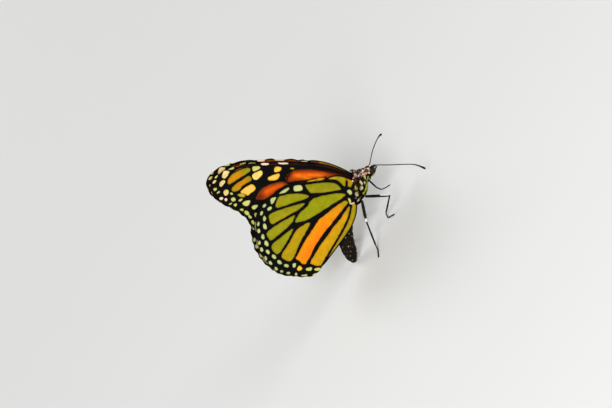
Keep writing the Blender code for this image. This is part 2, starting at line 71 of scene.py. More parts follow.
FOREWING_VEINS = {
    "subcosta": ((1.9, 17.4), (1.7, 21.0), (0.2, 27.0), (-1.9, 33.0)),
    "radius": ((1.3, 17.6), (1.0, 20.6), (-0.3, 24.8), (-1.6, 28.8), (-3.3, 32.8), (-5.3, 36.3)),
    "radius_1": ((-1.6, 28.8), (-3.6, 34.4), (-5.6, 39.4)),
    "radius_2": ((-3.3, 32.8), (-6.2, 39.8), (-8.8, 45.6)),
    "radius_3": ((-7.3, 41.8), (-9.0, 46.0), (-11.6, 50.4), (-14.6, 54.0)),
    "radius_4": ((-11.4, 49.5), (-13.2, 52.2), (-16.2, 55.0), (-19.6, 57.0)),
    "radius_5": ((-5.3, 36.3), (-7.3, 41.8), (-9.2, 46.2), (-11.4, 49.5), (-14.0, 52.2),
                 (-18.0, 54.8), (-22.8, 57.0)),
    "media_1": ((-6.2, 36.4), (-7.3, 38.3), (-8.4, 39.9), (-9.4, 41.8), (-10.0, 44.2), (-10.5, 45.9),
                (-11.7, 47.0), (-12.9, 47.8), (-14.1, 48.9), (-15.9, 50.0), (-17.7, 51.0),
                (-20.0, 52.1), (-24.8, 54.4)),
    "media_2": ((-7.9, 36.5), (-9.0, 38.0), (-10.2, 38.6), (-11.3, 39.2), (-12.3, 40.6), (-13.2, 43.0),
                (-14.7, 45.4), (-17.2, 47.4), (-19.9, 48.5), (-25.2, 50.2)),
    "media_3": ((-9.3, 36.1), (-10.5, 38.0), (-12.3, 40.0), (-14.1, 41.6), (-16.2, 42.7), (-19.0, 42.9),
                (-21.6, 42.6), (-25.7, 43.4)),
    "cubitus": ((-0.2, 17.2), (-1.2, 20.9), (-2.3, 24.4), (-3.4, 26.7), (-4.8, 28.5), (-6.5, 30.6),
                (-7.9, 33.2), (-9.3, 36.1)),
    "cubitus_1": ((-7.6, 32.4), (-10.4, 34.6), (-14.0, 36.6), (-18.6, 38.8), (-22.5, 40.4),
                  (-25.6, 41.2)),
    "cubitus_2": ((-4.2, 27.2), (-9.0, 30.4), (-15.0, 33.4), (-21.0, 35.8), (-26.9, 37.6)),
    "anal": ((-2.2, 17.0), (-7.0, 20.8), (-14.0, 25.6), (-21.0, 30.4), (-26.6, 34.2)),
    "cell_end": ((-5.3, 36.3), (-6.2, 36.4), (-7.9, 36.5), (-9.3, 36.1)),
}
HINDWING_VEINS = {
    "subcosta": ((-2.4, 16.6), (-2.5, 18.6), (-2.4, 21.6), (-3.6, 24.6), (-5.9, 28.2),
                 (-8.0, 31.6), (-10.3, 34.4), (-13.2, 36.6), (-17.4, 38.6)),
    "humeral": ((-2.2, 17.4), (-1.0, 17.9), (-0.3, 18.3)),
    "radius": ((-2.6, 16.4), (-3.5, 18.6), (-4.8, 20.5), (-7.5, 23.9), (-9.3, 26.9),
               (-9.8, 29.4), (-11.0, 32.1), (-12.7, 34.4), (-15.2, 36.6), (-18.6, 38.2)),
    "media_1": ((-11.3, 26.8), (-12.8, 28.5), (-15.7, 31.4), (-19.7, 35.3), (-24.0, 38.7)),
    "media_2": ((-16.0, 27.9), (-18.5, 29.6), (-21.4, 31.8), (-25.3, 34.1), (-29.0, 36.0)),
    "media_3": ((-20.9, 26.9), (-23.2, 28.3), (-26.6, 29.7), (-29.4, 30.8), (-33.0, 31.9)),
    "cubitus": ((-3.9, 15.2), (-7.0, 16.9), (-9.8, 18.7), (-12.7, 20.5), (-15.0, 21.9),
                (-17.7, 23.8), (-19.7, 25.3), (-20.9, 26.9)),
    "cubitus_1": ((-20.1, 25.7), (-22.7, 25.5), (-26.8, 25.6), (-30.7, 25.8), (-35.2, 26.4)),
    "cubitus_2": ((-14.4, 21.6), (-18.0, 21.6), (-23.3, 21.3), (-28.5, 20.9), (-34.9, 20.4)),
    "anal_1": ((-4.4, 14.6), (-6.4, 14.2), (-9.0, 14.4), (-12.8, 14.8), (-17.0, 15.4), (-22.0, 15.9),
               (-28.8, 15.8), (-33.0, 15.6)),
    "anal_2": ((-5.0, 13.6), (-6.3, 13.0), (-7.5, 12.5), (-8.6, 12.1), (-10.4, 11.6), (-13.0, 11.3),
               (-20.6, 11.2), (-28.8, 11.4)),
    "cell_end": ((-9.3, 26.9), (-10.6, 26.6), (-12.2, 26.9), (-14.5, 27.4), (-16.7, 28.0),
                 (-19.0, 27.7), (-20.9, 26.9)),
}

# Half thickness of the black of the veins that differ from the rest
BROAD_VEINS = {"humeral": 0.42, "cubitus": 0.06, "cubitus_2": 0.05}
FINE_VEIN = 0.15

# The coloured cells between the black veins: colour name, corners, softness of a soft edge
FOREWING_CELLS = (
    ("ember", (
        (-9.0, 36.8), (-7.6, 36.9), (-5.8, 35.8), (-4.4, 34.0), (-2.8, 31.4), (-1.6, 28.4),
        (-0.5, 25.5), (0.5, 22.4), (1.3, 19.2), (1.2, 17.4), (0.2, 17.8), (-1.0, 20.8), (-2.2, 24.6),
        (-3.2, 26.6), (-4.6, 28.5), (-6.3, 30.7), (-7.6, 32.8), (-9.0, 34.6), (-9.6, 35.8),
    ), 0.5),
    ("ember", (
        (-19.3, 42.1), (-17.6, 42.4), (-15.8, 42.3), (-13.8, 41.2), (-12.1, 39.5), (-10.5, 37.4),
        (-10.1, 36.1), (-10.3, 35.1), (-11.3, 35.7), (-13.3, 36.8), (-14.9, 37.7), (-16.4, 38.6),
        (-17.7, 39.3), (-18.7, 40.6),
    ), 0.4),
    # Painted shade: these tip cells take an olive that stands for the pale under side in shade with green
    # reflected light
    ("olive_shade", (
        (-19.4, 53.2), (-18.2, 53.7), (-16.9, 53.6), (-15.2, 53.2), (-13.9, 52.5), (-12.4, 50.7),
        (-11.9, 49.2), (-12.6, 48.7), (-14.1, 49.4), (-15.5, 50.3), (-17.2, 51.2), (-18.4, 51.9),
        (-19.3, 52.4),
    )),
    ("olive_shade", (
        (-20.6, 50.8), (-19.7, 51.1), (-18.1, 50.5), (-16.2, 49.5), (-14.1, 48.3), (-14.3, 47.1),
        (-14.9, 46.7), (-16.0, 47.4), (-17.7, 48.3), (-19.1, 48.6), (-20.2, 49.2), (-20.7, 50.0),
    )),
    ("yolk", (
        (-6.5, 30.0), (-5.5, 29.0), (-4.4, 27.7), (-3.0, 26.0), (-2.6, 25.3), (-3.4, 24.8),
        (-4.6, 26.5), (-5.7, 28.0), (-6.4, 29.2),
    ), 0.14),
    ("ember", (
        (-5.6, 27.4), (-9.0, 31.0), (-15.0, 34.0), (-20.0, 36.0), (-21.0, 38.2), (-18.4, 38.2),
        (-14.0, 36.0), (-10.4, 34.0), (-7.8, 31.6),
    ), 0.5),
    ("ember", (
        (-3.0, 18.6), (-7.0, 21.6), (-14.0, 26.4), (-21.0, 31.2), (-23.4, 33.4), (-21.6, 35.3),
        (-15.0, 32.8), (-9.0, 29.8), (-5.2, 26.4), (-2.9, 22.4),
    ), 0.5),
)
HINDWING_CELLS = (
    # Painted shade: the olive and moss cells stand for the pale buff under side in shade, tinted by green
    # reflected light
    ("olive_shade", (
        (-2.1, 24.6), (-1.3, 24.0), (-0.3, 22.4), (1.0, 19.9), (1.3, 18.2), (1.2, 16.5), (0.8, 16.2),
        (-0.2, 16.2), (-1.1, 16.3), (-1.2, 17.2), (-1.5, 17.9), (-1.9, 18.4), (-1.6, 19.4),
        (-1.4, 20.6), (-1.4, 22.0), (-2.0, 23.5), (-2.3, 24.4),
    )),
    ("olive_shade", (
        (-7.7, 30.2), (-6.4, 28.6), (-4.6, 26.1), (-3.1, 23.6), (-2.3, 21.5), (-2.7, 19.9),
        (-3.1, 18.8), (-3.9, 19.4), (-5.1, 21.1), (-7.0, 23.7), (-8.6, 26.4), (-8.9, 27.6),
        (-8.4, 29.0),
    )),
    ("olive_shade", (
        (-15.0, 36.1), (-13.4, 34.4), (-12.0, 32.5), (-10.6, 29.6), (-10.1, 27.4), (-11.3, 27.7),
        (-14.4, 30.8), (-18.2, 34.6), (-17.4, 35.8),
    )),
    ("olive_shade", (
        (-20.4, 35.4), (-12.9, 27.7), (-15.3, 28.0), (-19.5, 30.7), (-23.4, 33.2), (-22.8, 34.9),
    )),
    ("olive_shade", (
        (-26.0, 33.4), (-17.6, 28.3), (-20.7, 27.9), (-27.6, 30.6), (-28.0, 31.8),
    )),
    ("moss_shade", (
        (-3.9, 17.1), (-4.1, 16.5), (-5.0, 16.8), (-6.4, 17.4), (-7.8, 18.3), (-9.7, 19.3),
        (-11.2, 20.2), (-13.5, 21.4), (-15.6, 22.8), (-17.4, 24.1), (-18.6, 25.5), (-19.4, 26.7),
        (-18.2, 27.1), (-16.2, 27.0), (-14.4, 26.4), (-12.9, 25.9), (-11.5, 26.0), (-10.1, 25.4),
        (-8.7, 24.1), (-6.9, 21.9), (-5.0, 19.4),
    )),
    ("olive_shade", (
        (-21.6, 26.2), (-26.0, 28.6), (-29.2, 29.9), (-30.7, 28.4), (-30.3, 26.2),
    )),
    ("ochre", (
        (-17.2, 22.2), (-21.2, 25.0), (-26.0, 25.0), (-30.5, 25.2), (-31.3, 23.3), (-30.2, 21.2),
        (-24.0, 21.8),
    )),
    # Painted light: this bright orange stripe stands for sunlight shining through the wing
    ("flame", (
        (-5.5, 14.9), (-5.6, 15.5), (-5.9, 15.9), (-6.7, 16.4), (-7.8, 17.0), (-8.9, 17.5),
        (-10.0, 18.0), (-11.3, 18.5), (-12.9, 19.1), (-14.9, 20.0), (-16.0, 20.1), (-17.7, 20.2),
        (-20.5, 20.4), (-23.3, 20.6), (-25.9, 20.5), (-28.2, 20.4), (-29.2, 20.3), (-29.4, 18.7),
        (-29.7, 17.5), (-29.3, 16.4), (-28.3, 16.4), (-26.3, 16.3), (-23.9, 16.6), (-22.1, 16.6),
        (-19.3, 16.4), (-17.1, 16.2), (-14.8, 15.7), (-12.3, 15.4), (-10.1, 15.1), (-7.7, 14.8),
        (-6.0, 14.6),
    )),
    ("amber", (
        (-6.4, 13.5), (-6.8, 13.8), (-7.7, 13.8), (-8.8, 13.9), (-10.1, 13.9), (-11.4, 13.9),
        (-12.8, 14.1), (-14.8, 14.5), (-17.1, 14.6), (-20.2, 15.0), (-21.9, 15.2), (-24.3, 15.2),
        (-27.0, 15.3), (-28.3, 15.1), (-28.3, 14.4), (-28.0, 12.8), (-27.3, 11.5), (-26.6, 11.3),
        (-24.1, 11.5), (-21.2, 11.5), (-17.4, 11.5), (-13.2, 11.7), (-10.7, 12.0), (-9.3, 12.3),
        (-8.1, 12.7), (-7.0, 13.1),
    )),
    ("ochre", (
        (-5.2, 13.0), (-6.2, 12.7), (-7.1, 12.3), (-8.2, 11.9), (-9.1, 11.6), (-10.3, 11.3),
        (-12.7, 11.0), (-15.7, 10.8), (-19.2, 10.8), (-22.9, 10.7), (-26.9, 10.4), (-27.1, 10.0),
        (-23.2, 9.8), (-19.5, 9.6), (-15.7, 9.4), (-11.7, 9.0), (-8.5, 9.3), (-6.8, 9.9),
        (-5.4, 10.6), (-4.6, 11.6), (-4.6, 12.6),
    )),
)
# Streaks outside the cells: colour name, half width, softness, line
FOREWING_STREAKS = (
    ("copper", 0.2, 0.4, ((-13.5, 53.0), (-12.6, 51.9), (-11.5, 50.4))),
    ("brown", 0.18, 0.5, ((-10.9, 50.0), (-10.0, 48.6), (-9.0, 47.0))),
    ("umber", 0.12, 0.5, ((-8.2, 45.0), (-4.8, 38.9), (-1.4, 31.8), (1.0, 25.4), (2.0, 20.4))),
)
# Streaks and marks of the wings' upper sides, seen past the nearer wing
UPPER_STREAKS = (
    ("bronze", 0.2, 0.25, ((0.5, 27.6), (1.2, 24.9), (1.75, 22.2), (2.0, 20.0), (2.0, 17.6))),
    ("umber", 0.2, 0.6, ((-10.0, 49.0), (-5.4, 40.8), (-1.4, 33.0), (0.5, 28.2))),
    # Painted shade: a white spot of the far wing, tinted by green reflected light
    ("lime_reflection", 0.16, 0.12, ((-12.6, 51.0), (-11.5, 49.7))),
    ("cream", 0.14, 0.14, ((-2.2, 33.4), (-1.2, 31.6))),
)
# Soft strokes of a second colour inside the cells: colour name, reach, strength, line
FOREWING_GLOWS = (
    ("rust", 1.3, 0.95, ((-9.4, 36.6), (-7.4, 36.4))),
    ("rust", 0.7, 0.75, ((-6.4, 35.6), (-4.0, 33.2), (-2.0, 29.2), (-0.6, 25.2), (0.6, 21.6), (1.2, 18.6))),
    ("scarlet", 0.8, 0.9, ((-6.6, 34.7), (-5.1, 31.6), (-3.4, 28.6), (-2.0, 25.8))),
    # Painted light: the flame strokes stand for light shining through the middle of the cell
    ("flame", 0.55, 0.9, ((-6.3, 33.6), (-5.7, 31.2), (-5.2, 29.4))),
    ("flame", 0.35, 0.7, ((-4.4, 30.4), (-2.4, 26.2))),
    ("black", 0.5, 0.8, ((-2.4, 25.1), (-3.1, 24.1))),
    ("rust", 1.5, 0.9, ((-19.3, 41.6), (-17.9, 41.2))),
    ("brown", 0.9, 0.8, ((-16.4, 42.4), (-13.4, 40.9), (-11.4, 38.4), (-10.3, 36.2))),
    ("scarlet", 0.9, 0.9, ((-15.6, 39.9), (-13.4, 38.4), (-11.6, 36.8))),
    ("copper", 1.05, 1.0, ((-18.2, 53.0), (-15.2, 51.3))),
    ("copper", 1.05, 1.0, ((-18.8, 49.9), (-15.8, 48.3))),
)
HINDWING_GLOWS = (
    ("amber", 0.8, 0.85, ((-2.1, 24.2), (-1.2, 22.6))),
    ("ochre", 1.5, 0.85, ((0.9, 20.4), (0.2, 17.0))),
    ("amber", 0.7, 0.8, ((0.9, 18.4), (0.6, 16.6))),
    # Painted shade: the moss strokes in this table tint the cells with green reflected light
    ("moss_shade", 0.8, 0.4, ((-5.6, 11.6), (-7.0, 10.8))),
    ("ochre", 1.5, 0.95, ((-5.4, 15.2), (-7.2, 15.8))),
    ("amber", 1.1, 0.7, ((-9.3, 16.6), (-12.4, 17.6))),
    ("ochre", 1.0, 0.8, ((-6.6, 13.4), (-8.4, 13.3))),
    ("amber", 0.5, 0.6, ((-12.9, 19.0), (-28.0, 20.3))),
    ("brown", 0.5, 0.8, ((0.1, 18.5), (0.3, 18.8))),
    ("ochre", 0.8, 0.5, ((-12.0, 12.4), (-27.0, 11.9))),
    ("ochre", 0.8, 0.5, ((-19.4, 22.0), (-29.0, 21.8))),
    ("amber", 0.7, 0.35, ((-20.4, 24.0), (-29.0, 24.2))),
    ("scarlet", 0.8, 0.35, ((-20.0, 17.2), (-28.4, 17.4))),
    ("amber", 0.9, 0.4, ((-28.6, 19.8), (-28.9, 17.0))),
    ("moss_shade", 0.9, 0.5, ((-12.6, 30.4), (-16.0, 33.6))),
    ("ochre", 0.7, 0.4, ((-17.0, 29.6), (-22.4, 33.2))),
    ("moss_shade", 0.8, 0.6, ((-22.4, 26.6), (-25.4, 27.6))),
)
# Pale spots of the margins: distance ahead, height, width; the long way follows the margin
# The forewing's spots are painted lime and the hindwing's mint: white spots in shade, tinted by green
# reflected light
FOREWING_SPOTS = (
    (-21.6, 50.3, 0.6), (-24.4, 42.4, 1.2), (-26.0, 38.9, 0.9), (-23.6, 39.0, 1.3),
    (-24.6, 36.4, 1.2), (-25.3, 34.6, 1.0), (-26.2, 36.9, 0.8), (-25.0, 40.8, 0.9),
)
HINDWING_SPOTS = (
    (-19.7, 36.9, 1.15), (-23.2, 36.7, 1.1), (-25.3, 35.2, 1.15), (-28.4, 34.0, 1.1),
    (-29.7, 31.8, 1.15), (-31.8, 29.9, 1.1), (-32.2, 27.2, 1.1), (-32.8, 24.6, 1.1),
    (-32.7, 21.9, 1.1),
    (-19.7, 38.9, 0.9), (-22.2, 38.5, 0.9), (-25.6, 37.6, 0.9), (-27.4, 36.3, 0.9),
    (-30.6, 34.0, 0.9), (-32.1, 32.2, 0.9), (-33.9, 29.4, 0.9), (-34.4, 27.2, 0.9),
    (-35.1, 24.4, 0.8), (-35.0, 22.3, 0.8), (-34.4, 20.0, 0.8),
)
# Other pale marks by colour name and corners
# Painted shade in these marks: lime and mint stand for white spots in shade, tinted by green reflected
# light
FOREWING_MARKS = (
    ("yolk", ((-19.8, 47.9), (-18.4, 47.6), (-17.0, 46.8), (-15.8, 45.7), (-16.2, 44.1),
              (-17.4, 44.1), (-18.6, 44.7), (-19.6, 45.1), (-19.6, 46.2))),
    ("ochre", ((-20.9, 48.4), (-20.0, 47.5), (-19.8, 46.0), (-20.5, 45.9), (-21.2, 47.3))),
    ("lime_reflection", ((-11.4, 48.6), (-10.7, 48.5), (-9.9, 46.9), (-10.2, 46.2), (-11.4, 46.9), (-12.1, 47.7))),
    ("straw", ((-13.3, 47.3), (-12.2, 46.9), (-10.8, 45.6), (-11.1, 44.6), (-12.1, 44.4),
               (-13.6, 45.0), (-14.2, 45.7), (-13.9, 46.8))),
    ("yolk", ((-8.0, 41.9), (-7.3, 41.7), (-6.7, 40.4), (-7.0, 39.8), (-7.8, 39.7), (-8.9, 40.9),
              (-8.8, 41.5))),
    ("yolk", ((-11.8, 42.0), (-11.2, 42.1), (-10.0, 41.1), (-8.8, 39.9), (-9.0, 39.1), (-9.9, 39.0),
              (-10.9, 39.4), (-11.8, 40.6), (-12.1, 41.5))),
    # Painted shade: a pale mark in moss green, tinted by green reflected light
    ("moss_shade", ((-5.4, 37.3), (-4.8, 36.2), (-5.2, 36.1), (-5.7, 36.9))),
    ("lime_reflection", ((-15.4, 55.8), (-14.6, 55.3), (-14.0, 54.1), (-14.6, 54.1), (-15.5, 55.1))),
    ("cream", ((-17.1, 56.5), (-16.5, 56.3), (-15.9, 55.0), (-16.3, 54.6), (-18.0, 54.7),
               (-18.6, 55.2), (-18.5, 56.0))),
    ("cream", ((-20.7, 55.7), (-19.6, 55.5), (-19.0, 54.7), (-19.5, 54.2), (-21.0, 54.3), (-21.4, 54.8))),
    ("lime_reflection", ((-19.6, 58.3), (-18.7, 57.9), (-19.1, 57.3), (-19.9, 57.6))),
    ("cream", ((-21.5, 57.8), (-20.6, 57.6), (-20.3, 57.0), (-21.1, 57.0), (-21.7, 57.3))),
    ("lime_reflection", ((-23.1, 56.6), (-22.3, 55.8), (-22.8, 55.3), (-23.5, 55.8))),
    ("lime_reflection", ((-23.6, 54.8), (-22.8, 54.4), (-23.0, 54.1), (-23.8, 54.4))),
    ("cream", ((-22.4, 53.0), (-21.6, 53.0), (-21.1, 52.1), (-21.5, 51.4), (-22.4, 51.2), (-23.1, 51.8))),
    # Painted sunlight: the shell marks stand for white spots where direct sun falls on the front edge
    ("shell", ((-24.7, 53.1), (-24.0, 52.7), (-24.0, 52.0), (-24.7, 52.0), (-25.0, 52.6))),
    ("shell", ((-24.2, 51.4), (-23.6, 51.0), (-23.9, 50.5), (-24.5, 50.7))),
    ("lime_reflection", ((-23.1, 49.7), (-22.2, 49.1), (-22.4, 48.2), (-23.0, 48.0), (-23.6, 48.7))),
    ("lime_reflection", ((-24.8, 49.3), (-24.0, 48.8), (-24.3, 48.4), (-24.9, 48.9))),
    ("lime_reflection", ((-24.3, 47.8), (-23.5, 47.3), (-23.7, 46.8), (-24.5, 46.8))),
    ("lime_reflection", ((-22.3, 47.0), (-21.4, 46.6), (-21.3, 45.9), (-22.3, 46.3))),
    ("lime_reflection", ((-22.5, 45.5), (-21.3, 44.8), (-20.6, 43.7), (-21.1, 43.3), (-22.4, 43.4), (-22.9, 44.3))),
    ("lime_reflection", ((-22.2, 41.9), (-21.3, 41.8), (-20.6, 40.7), (-20.9, 40.3), (-22.4, 40.7))),
    ("lime_reflection", ((-24.7, 45.2), (-24.0, 44.7), (-24.0, 44.0), (-24.6, 43.9))),
    # Painted sunlight: these shell marks stand for white spots of the front edge in direct sun
    ("shell", ((-9.7, 50.6), (-8.8, 48.7), (-9.1, 48.5), (-10.1, 50.3))),
    ("shell", ((-8.6, 46.7), (-7.5, 44.7), (-8.0, 44.3), (-9.1, 46.3))),
    ("shell", ((-5.7, 41.6), (-4.4, 39.0), (-4.8, 38.7), (-6.1, 41.1))),
)
HINDWING_MARKS = (
    ("mint_reflection", ((-9.9, 33.5), (-9.3, 33.1), (-8.4, 31.6), (-8.9, 30.6), (-9.6, 30.3), (-10.5, 31.4),
              (-11.0, 32.7))),
    ("mint_reflection", ((-14.3, 36.7), (-13.3, 36.5), (-12.1, 35.8), (-11.0, 34.9), (-11.5, 34.4),
              (-12.7, 35.0), (-13.7, 35.9))),
    ("mint_reflection", ((-17.3, 38.2), (-16.5, 38.1), (-15.6, 37.1), (-16.2, 36.7), (-17.3, 36.7), (-18.2, 37.1))),
    ("mint_reflection", ((-2.4, 16.8), (-1.9, 15.8), (-2.5, 14.8), (-3.3, 15.1), (-3.2, 15.7), (-3.0, 16.4))),
    ("lime_reflection", ((-4.4, 15.2), (-4.5, 14.2), (-5.0, 13.8), (-5.7, 13.8), (-5.1, 14.8))),
    # Painted sunlight: the shell marks carry the pink white of white spots in direct sun
    ("shell", ((-5.8, 13.9), (-5.5, 13.0), (-4.8, 12.6), (-4.6, 12.8), (-5.0, 13.3), (-5.6, 14.0))),
    ("shell", ((0.7, 16.9), (1.2, 16.8), (1.2, 16.3), (0.8, 16.3))),
    ("mint_reflection", ((-31.2, 20.3), (-30.6, 19.5), (-31.5, 18.8), (-32.1, 19.5))),
    ("yolk", ((-31.7, 18.2), (-30.7, 17.9), (-30.9, 16.6), (-31.9, 16.8), (-32.2, 17.7))),
    ("lime_reflection", ((-30.3, 15.5), (-29.2, 14.1), (-29.5, 13.5), (-30.3, 13.6), (-30.9, 14.9))),
    ("lime_reflection", ((-29.1, 12.8), (-27.9, 11.1), (-28.7, 10.8), (-29.5, 12.1))),
    ("mint_reflection", ((-33.8, 17.8), (-33.1, 17.7), (-33.3, 17.0), (-33.9, 17.2))),
    ("lime_reflection", ((-32.8, 15.7), (-31.9, 14.2), (-32.3, 13.9), (-33.2, 15.3))),
    ("lime_reflection", ((-31.1, 12.3), (-30.3, 11.8), (-30.3, 11.3), (-31.1, 11.7))),
)
# The fringe runs only where the rim lies behind this distance ahead and above this height
FOREWING_FRINGE = (-22.0, 44.0)
HINDWING_FRINGE = (-24.0, 10.8)

# How far the forewings stand from the middle plane at their roots and tips
ROOT_HEIGHT = 16.0
TIP_HEIGHT = 58.0
FOREWING_ROOT_ASIDE = 1.0
FOREWING_TIP_ASIDE = 1.35
# How far a hindwing lies outside the forewing
HINDWING_OUTSIDE = 1.15
# How much further ahead and up the left forewing stands
FAR_WING_SHIFT = (0.35, 0.7)
# The hindwings swell along this line, which lies in the abdomen
BELLY_FRONT = (-6.0, 12.0)
BELLY_REAR = (-18.0, 6.0)
BELLY_BULGE = 0.9
BELLY_REACH = 5.0

# The body's balls: middle and half sizes along, across and up
BODY_BALLS = (
    ((-0.7, 0.0, 13.15), (4.4, 2.75, 3.6)), ((1.6, 0.0, 13.7), (3.2, 2.5, 3.05)),
    ((-3.4, 0.0, 12.5), (2.2, 2.05, 2.8)), ((4.2, 0.0, 13.6), (1.8, 1.8, 2.4)),
    ((5.4, 0.0, 12.9), (1.3, 1.5, 2.15)), ((6.4, 0.0, 12.25), (1.6, 1.3, 1.95)),
    ((7.4, 0.0, 12.1), (1.0, 1.05, 1.45)),
)
# The abdomen's line from the waist to the tip: ahead, height, radius
ABDOMEN = (
    (-4.6, 12.2, 1.9), (-6.4, 11.9, 2.1), (-8.4, 11.5, 2.3), (-11.0, 10.7, 2.4), (-14.3, 8.8, 2.5),
    (-17.1, 6.3, 2.55), (-18.9, 3.9, 2.35), (-20.0, 2.3, 1.85), (-20.4, 1.6, 1.3),
)
# The rest of the body's middle line, from the waist to the face: ahead, height
BODY_LINE = ((-0.6, 13.2), (3.0, 13.8), (5.4, 13.1), (7.6, 12.4), (8.8, 12.3))
ABDOMEN_SEGMENTS = 8
# How far a segment steps in under the one before it, and over what share of its length
SEGMENT_STEP = 0.16
SEGMENT_EDGE = 0.16

EYE_PLACE = (7.0, 1.35, 11.9)
EYE_RADII = (1.05, 0.75, 1.0)
PALP = ((7.5, 0.42, 11.3), (8.0, 0.62, 11.4), (8.55, 0.75, 11.42), (9.1, 0.75, 11.35))
PALP_RADII = (0.34, 0.38, 0.33, 0.14)
ANTENNA_RIGHT = (
    (7.7, -0.65, 12.9), (8.9, -1.9, 12.4), (11.0, -5.6, 10.2), (13.2, -9.3, 8.0),
    (14.9, -12.0, 6.0), (15.5, -13.1, 4.2), (15.7, -13.8, 2.2),
)
ANTENNA_LEFT = (
    (7.7, 0.65, 12.9), (9.1, 1.9, 12.7), (12.3, 5.4, 12.2), (15.4, 9.1, 11.0),
    (17.5, 12.0, 9.7), (18.4, 13.3, 8.9), (18.8, 14.0, 8.3),
)
# A feeler's shape: share of its length, half thickness as a share of the shaft's or the club's
FEELER_SHAFT = ((0, 1.5), (0.03, 1.4), (0.06, 1.0), (0.76, 1.0))
FEELER_CLUB = ((0.88, 0.62), (0.94, 0.86), (0.97, 1.0), (0.99, 0.8), (1.0, 0.3))
FEELER_STEP = 0.11
# Each ring of a feeler takes up this many points and swells by this share
RING_POINTS = 4
RING_SWELL = 0.05
# Hip, knee, heel, ball of the foot and toe of each leg
LEGS = {
    "foreleg_right": ((3.7, -1.7, 11.3), (3.0, -2.6, 8.5), (3.2, -2.6, 6.6),
                      (4.4, -2.6, 5.6), (5.8, -2.6, 4.8)),
    "foreleg_left": ((3.6, 1.7, 11.3), (2.5, 2.9, 9.7), (4.1, 2.8, 9.2),
                     (4.7, 2.7, 9.4), (5.3, 2.5, 9.7)),
    "midleg_right": ((-1.2, -2.4, 10.1), (2.8, -8.2, 5.7), (-2.5, -3.2, 1.3),
                     (-3.4, -3.9, 0.23), (-1.7, -6.6, 0.23)),
    "midleg_left": ((-1.2, 2.4, 10.1), (-2.2, 8.7, 6.0), (-6.0, 11.0, 1.2),
                    (-6.5, 12.1, 0.23), (-5.7, 13.8, 0.23)),
    "hindleg_right": ((-3.0, -2.4, 10.4), (-7.9, -6.9, 7.7), (-13.0, -8.1, 1.2),
                      (-14.0, -9.4, 0.23), (-15.8, -12.1, 0.23)),
    "hindleg_left": ((-3.0, 2.4, 10.4), (-9.0, 6.6, 7.9), (-15.0, 9.0, 1.2),
                     (-16.1, 10.2, 0.23), (-18.4, 12.6, 0.23)),
}
# Half thickness of femur, tibia and tarsus of each pair of legs
LEG_HALVES = {"foreleg": (0.3, 0.23, 0.19), "midleg": (0.49, 0.3, 0.22), "hindleg": (0.5, 0.31, 0.23)}
# Shares of the length of femur and tibia, and of their half thickness there
FEMUR_SHAPE = ((0, 0.3, 0.8, 1), (0.8, 1, 0.88, 0.72))
TIBIA_SHAPE = ((0, 0.08, 0.6, 1), (1, 0.86, 1, 0.9))
LEG_POINTS = 16
FOOT_STEP = 0.16
# Spines of shin, heel and foot: pairs, length
SPINE_ROWS = ((11, 0.42), (3, 0.3), (5, 0.26))
SPINE_WIDTH = 0.035
CLAW_LENGTH = 0.5
CLAW_WIDTH = 0.06
# White marks of the legs: femur or tibia, from and to a share of it, offset, reach
LEG_MARKS = {
    "foreleg": (),
    "midleg": ((0, 0.63, 0.97, 0.42, 0.34),),
    "hindleg": ((0, 0.95, 1.0, 0.2, 0.42), (1, 0.44, 0.47, 0.26, 0.22)),
}
# The way in which a mark is offset from the middle of a left leg
LEG_MARK_SIDE = (0.75, 0.28, 0.6)
TEGULA_PLACE = (3.5, 1.75, 16.2)
TEGULA_RADII = (0.75, 0.55, 0.8)

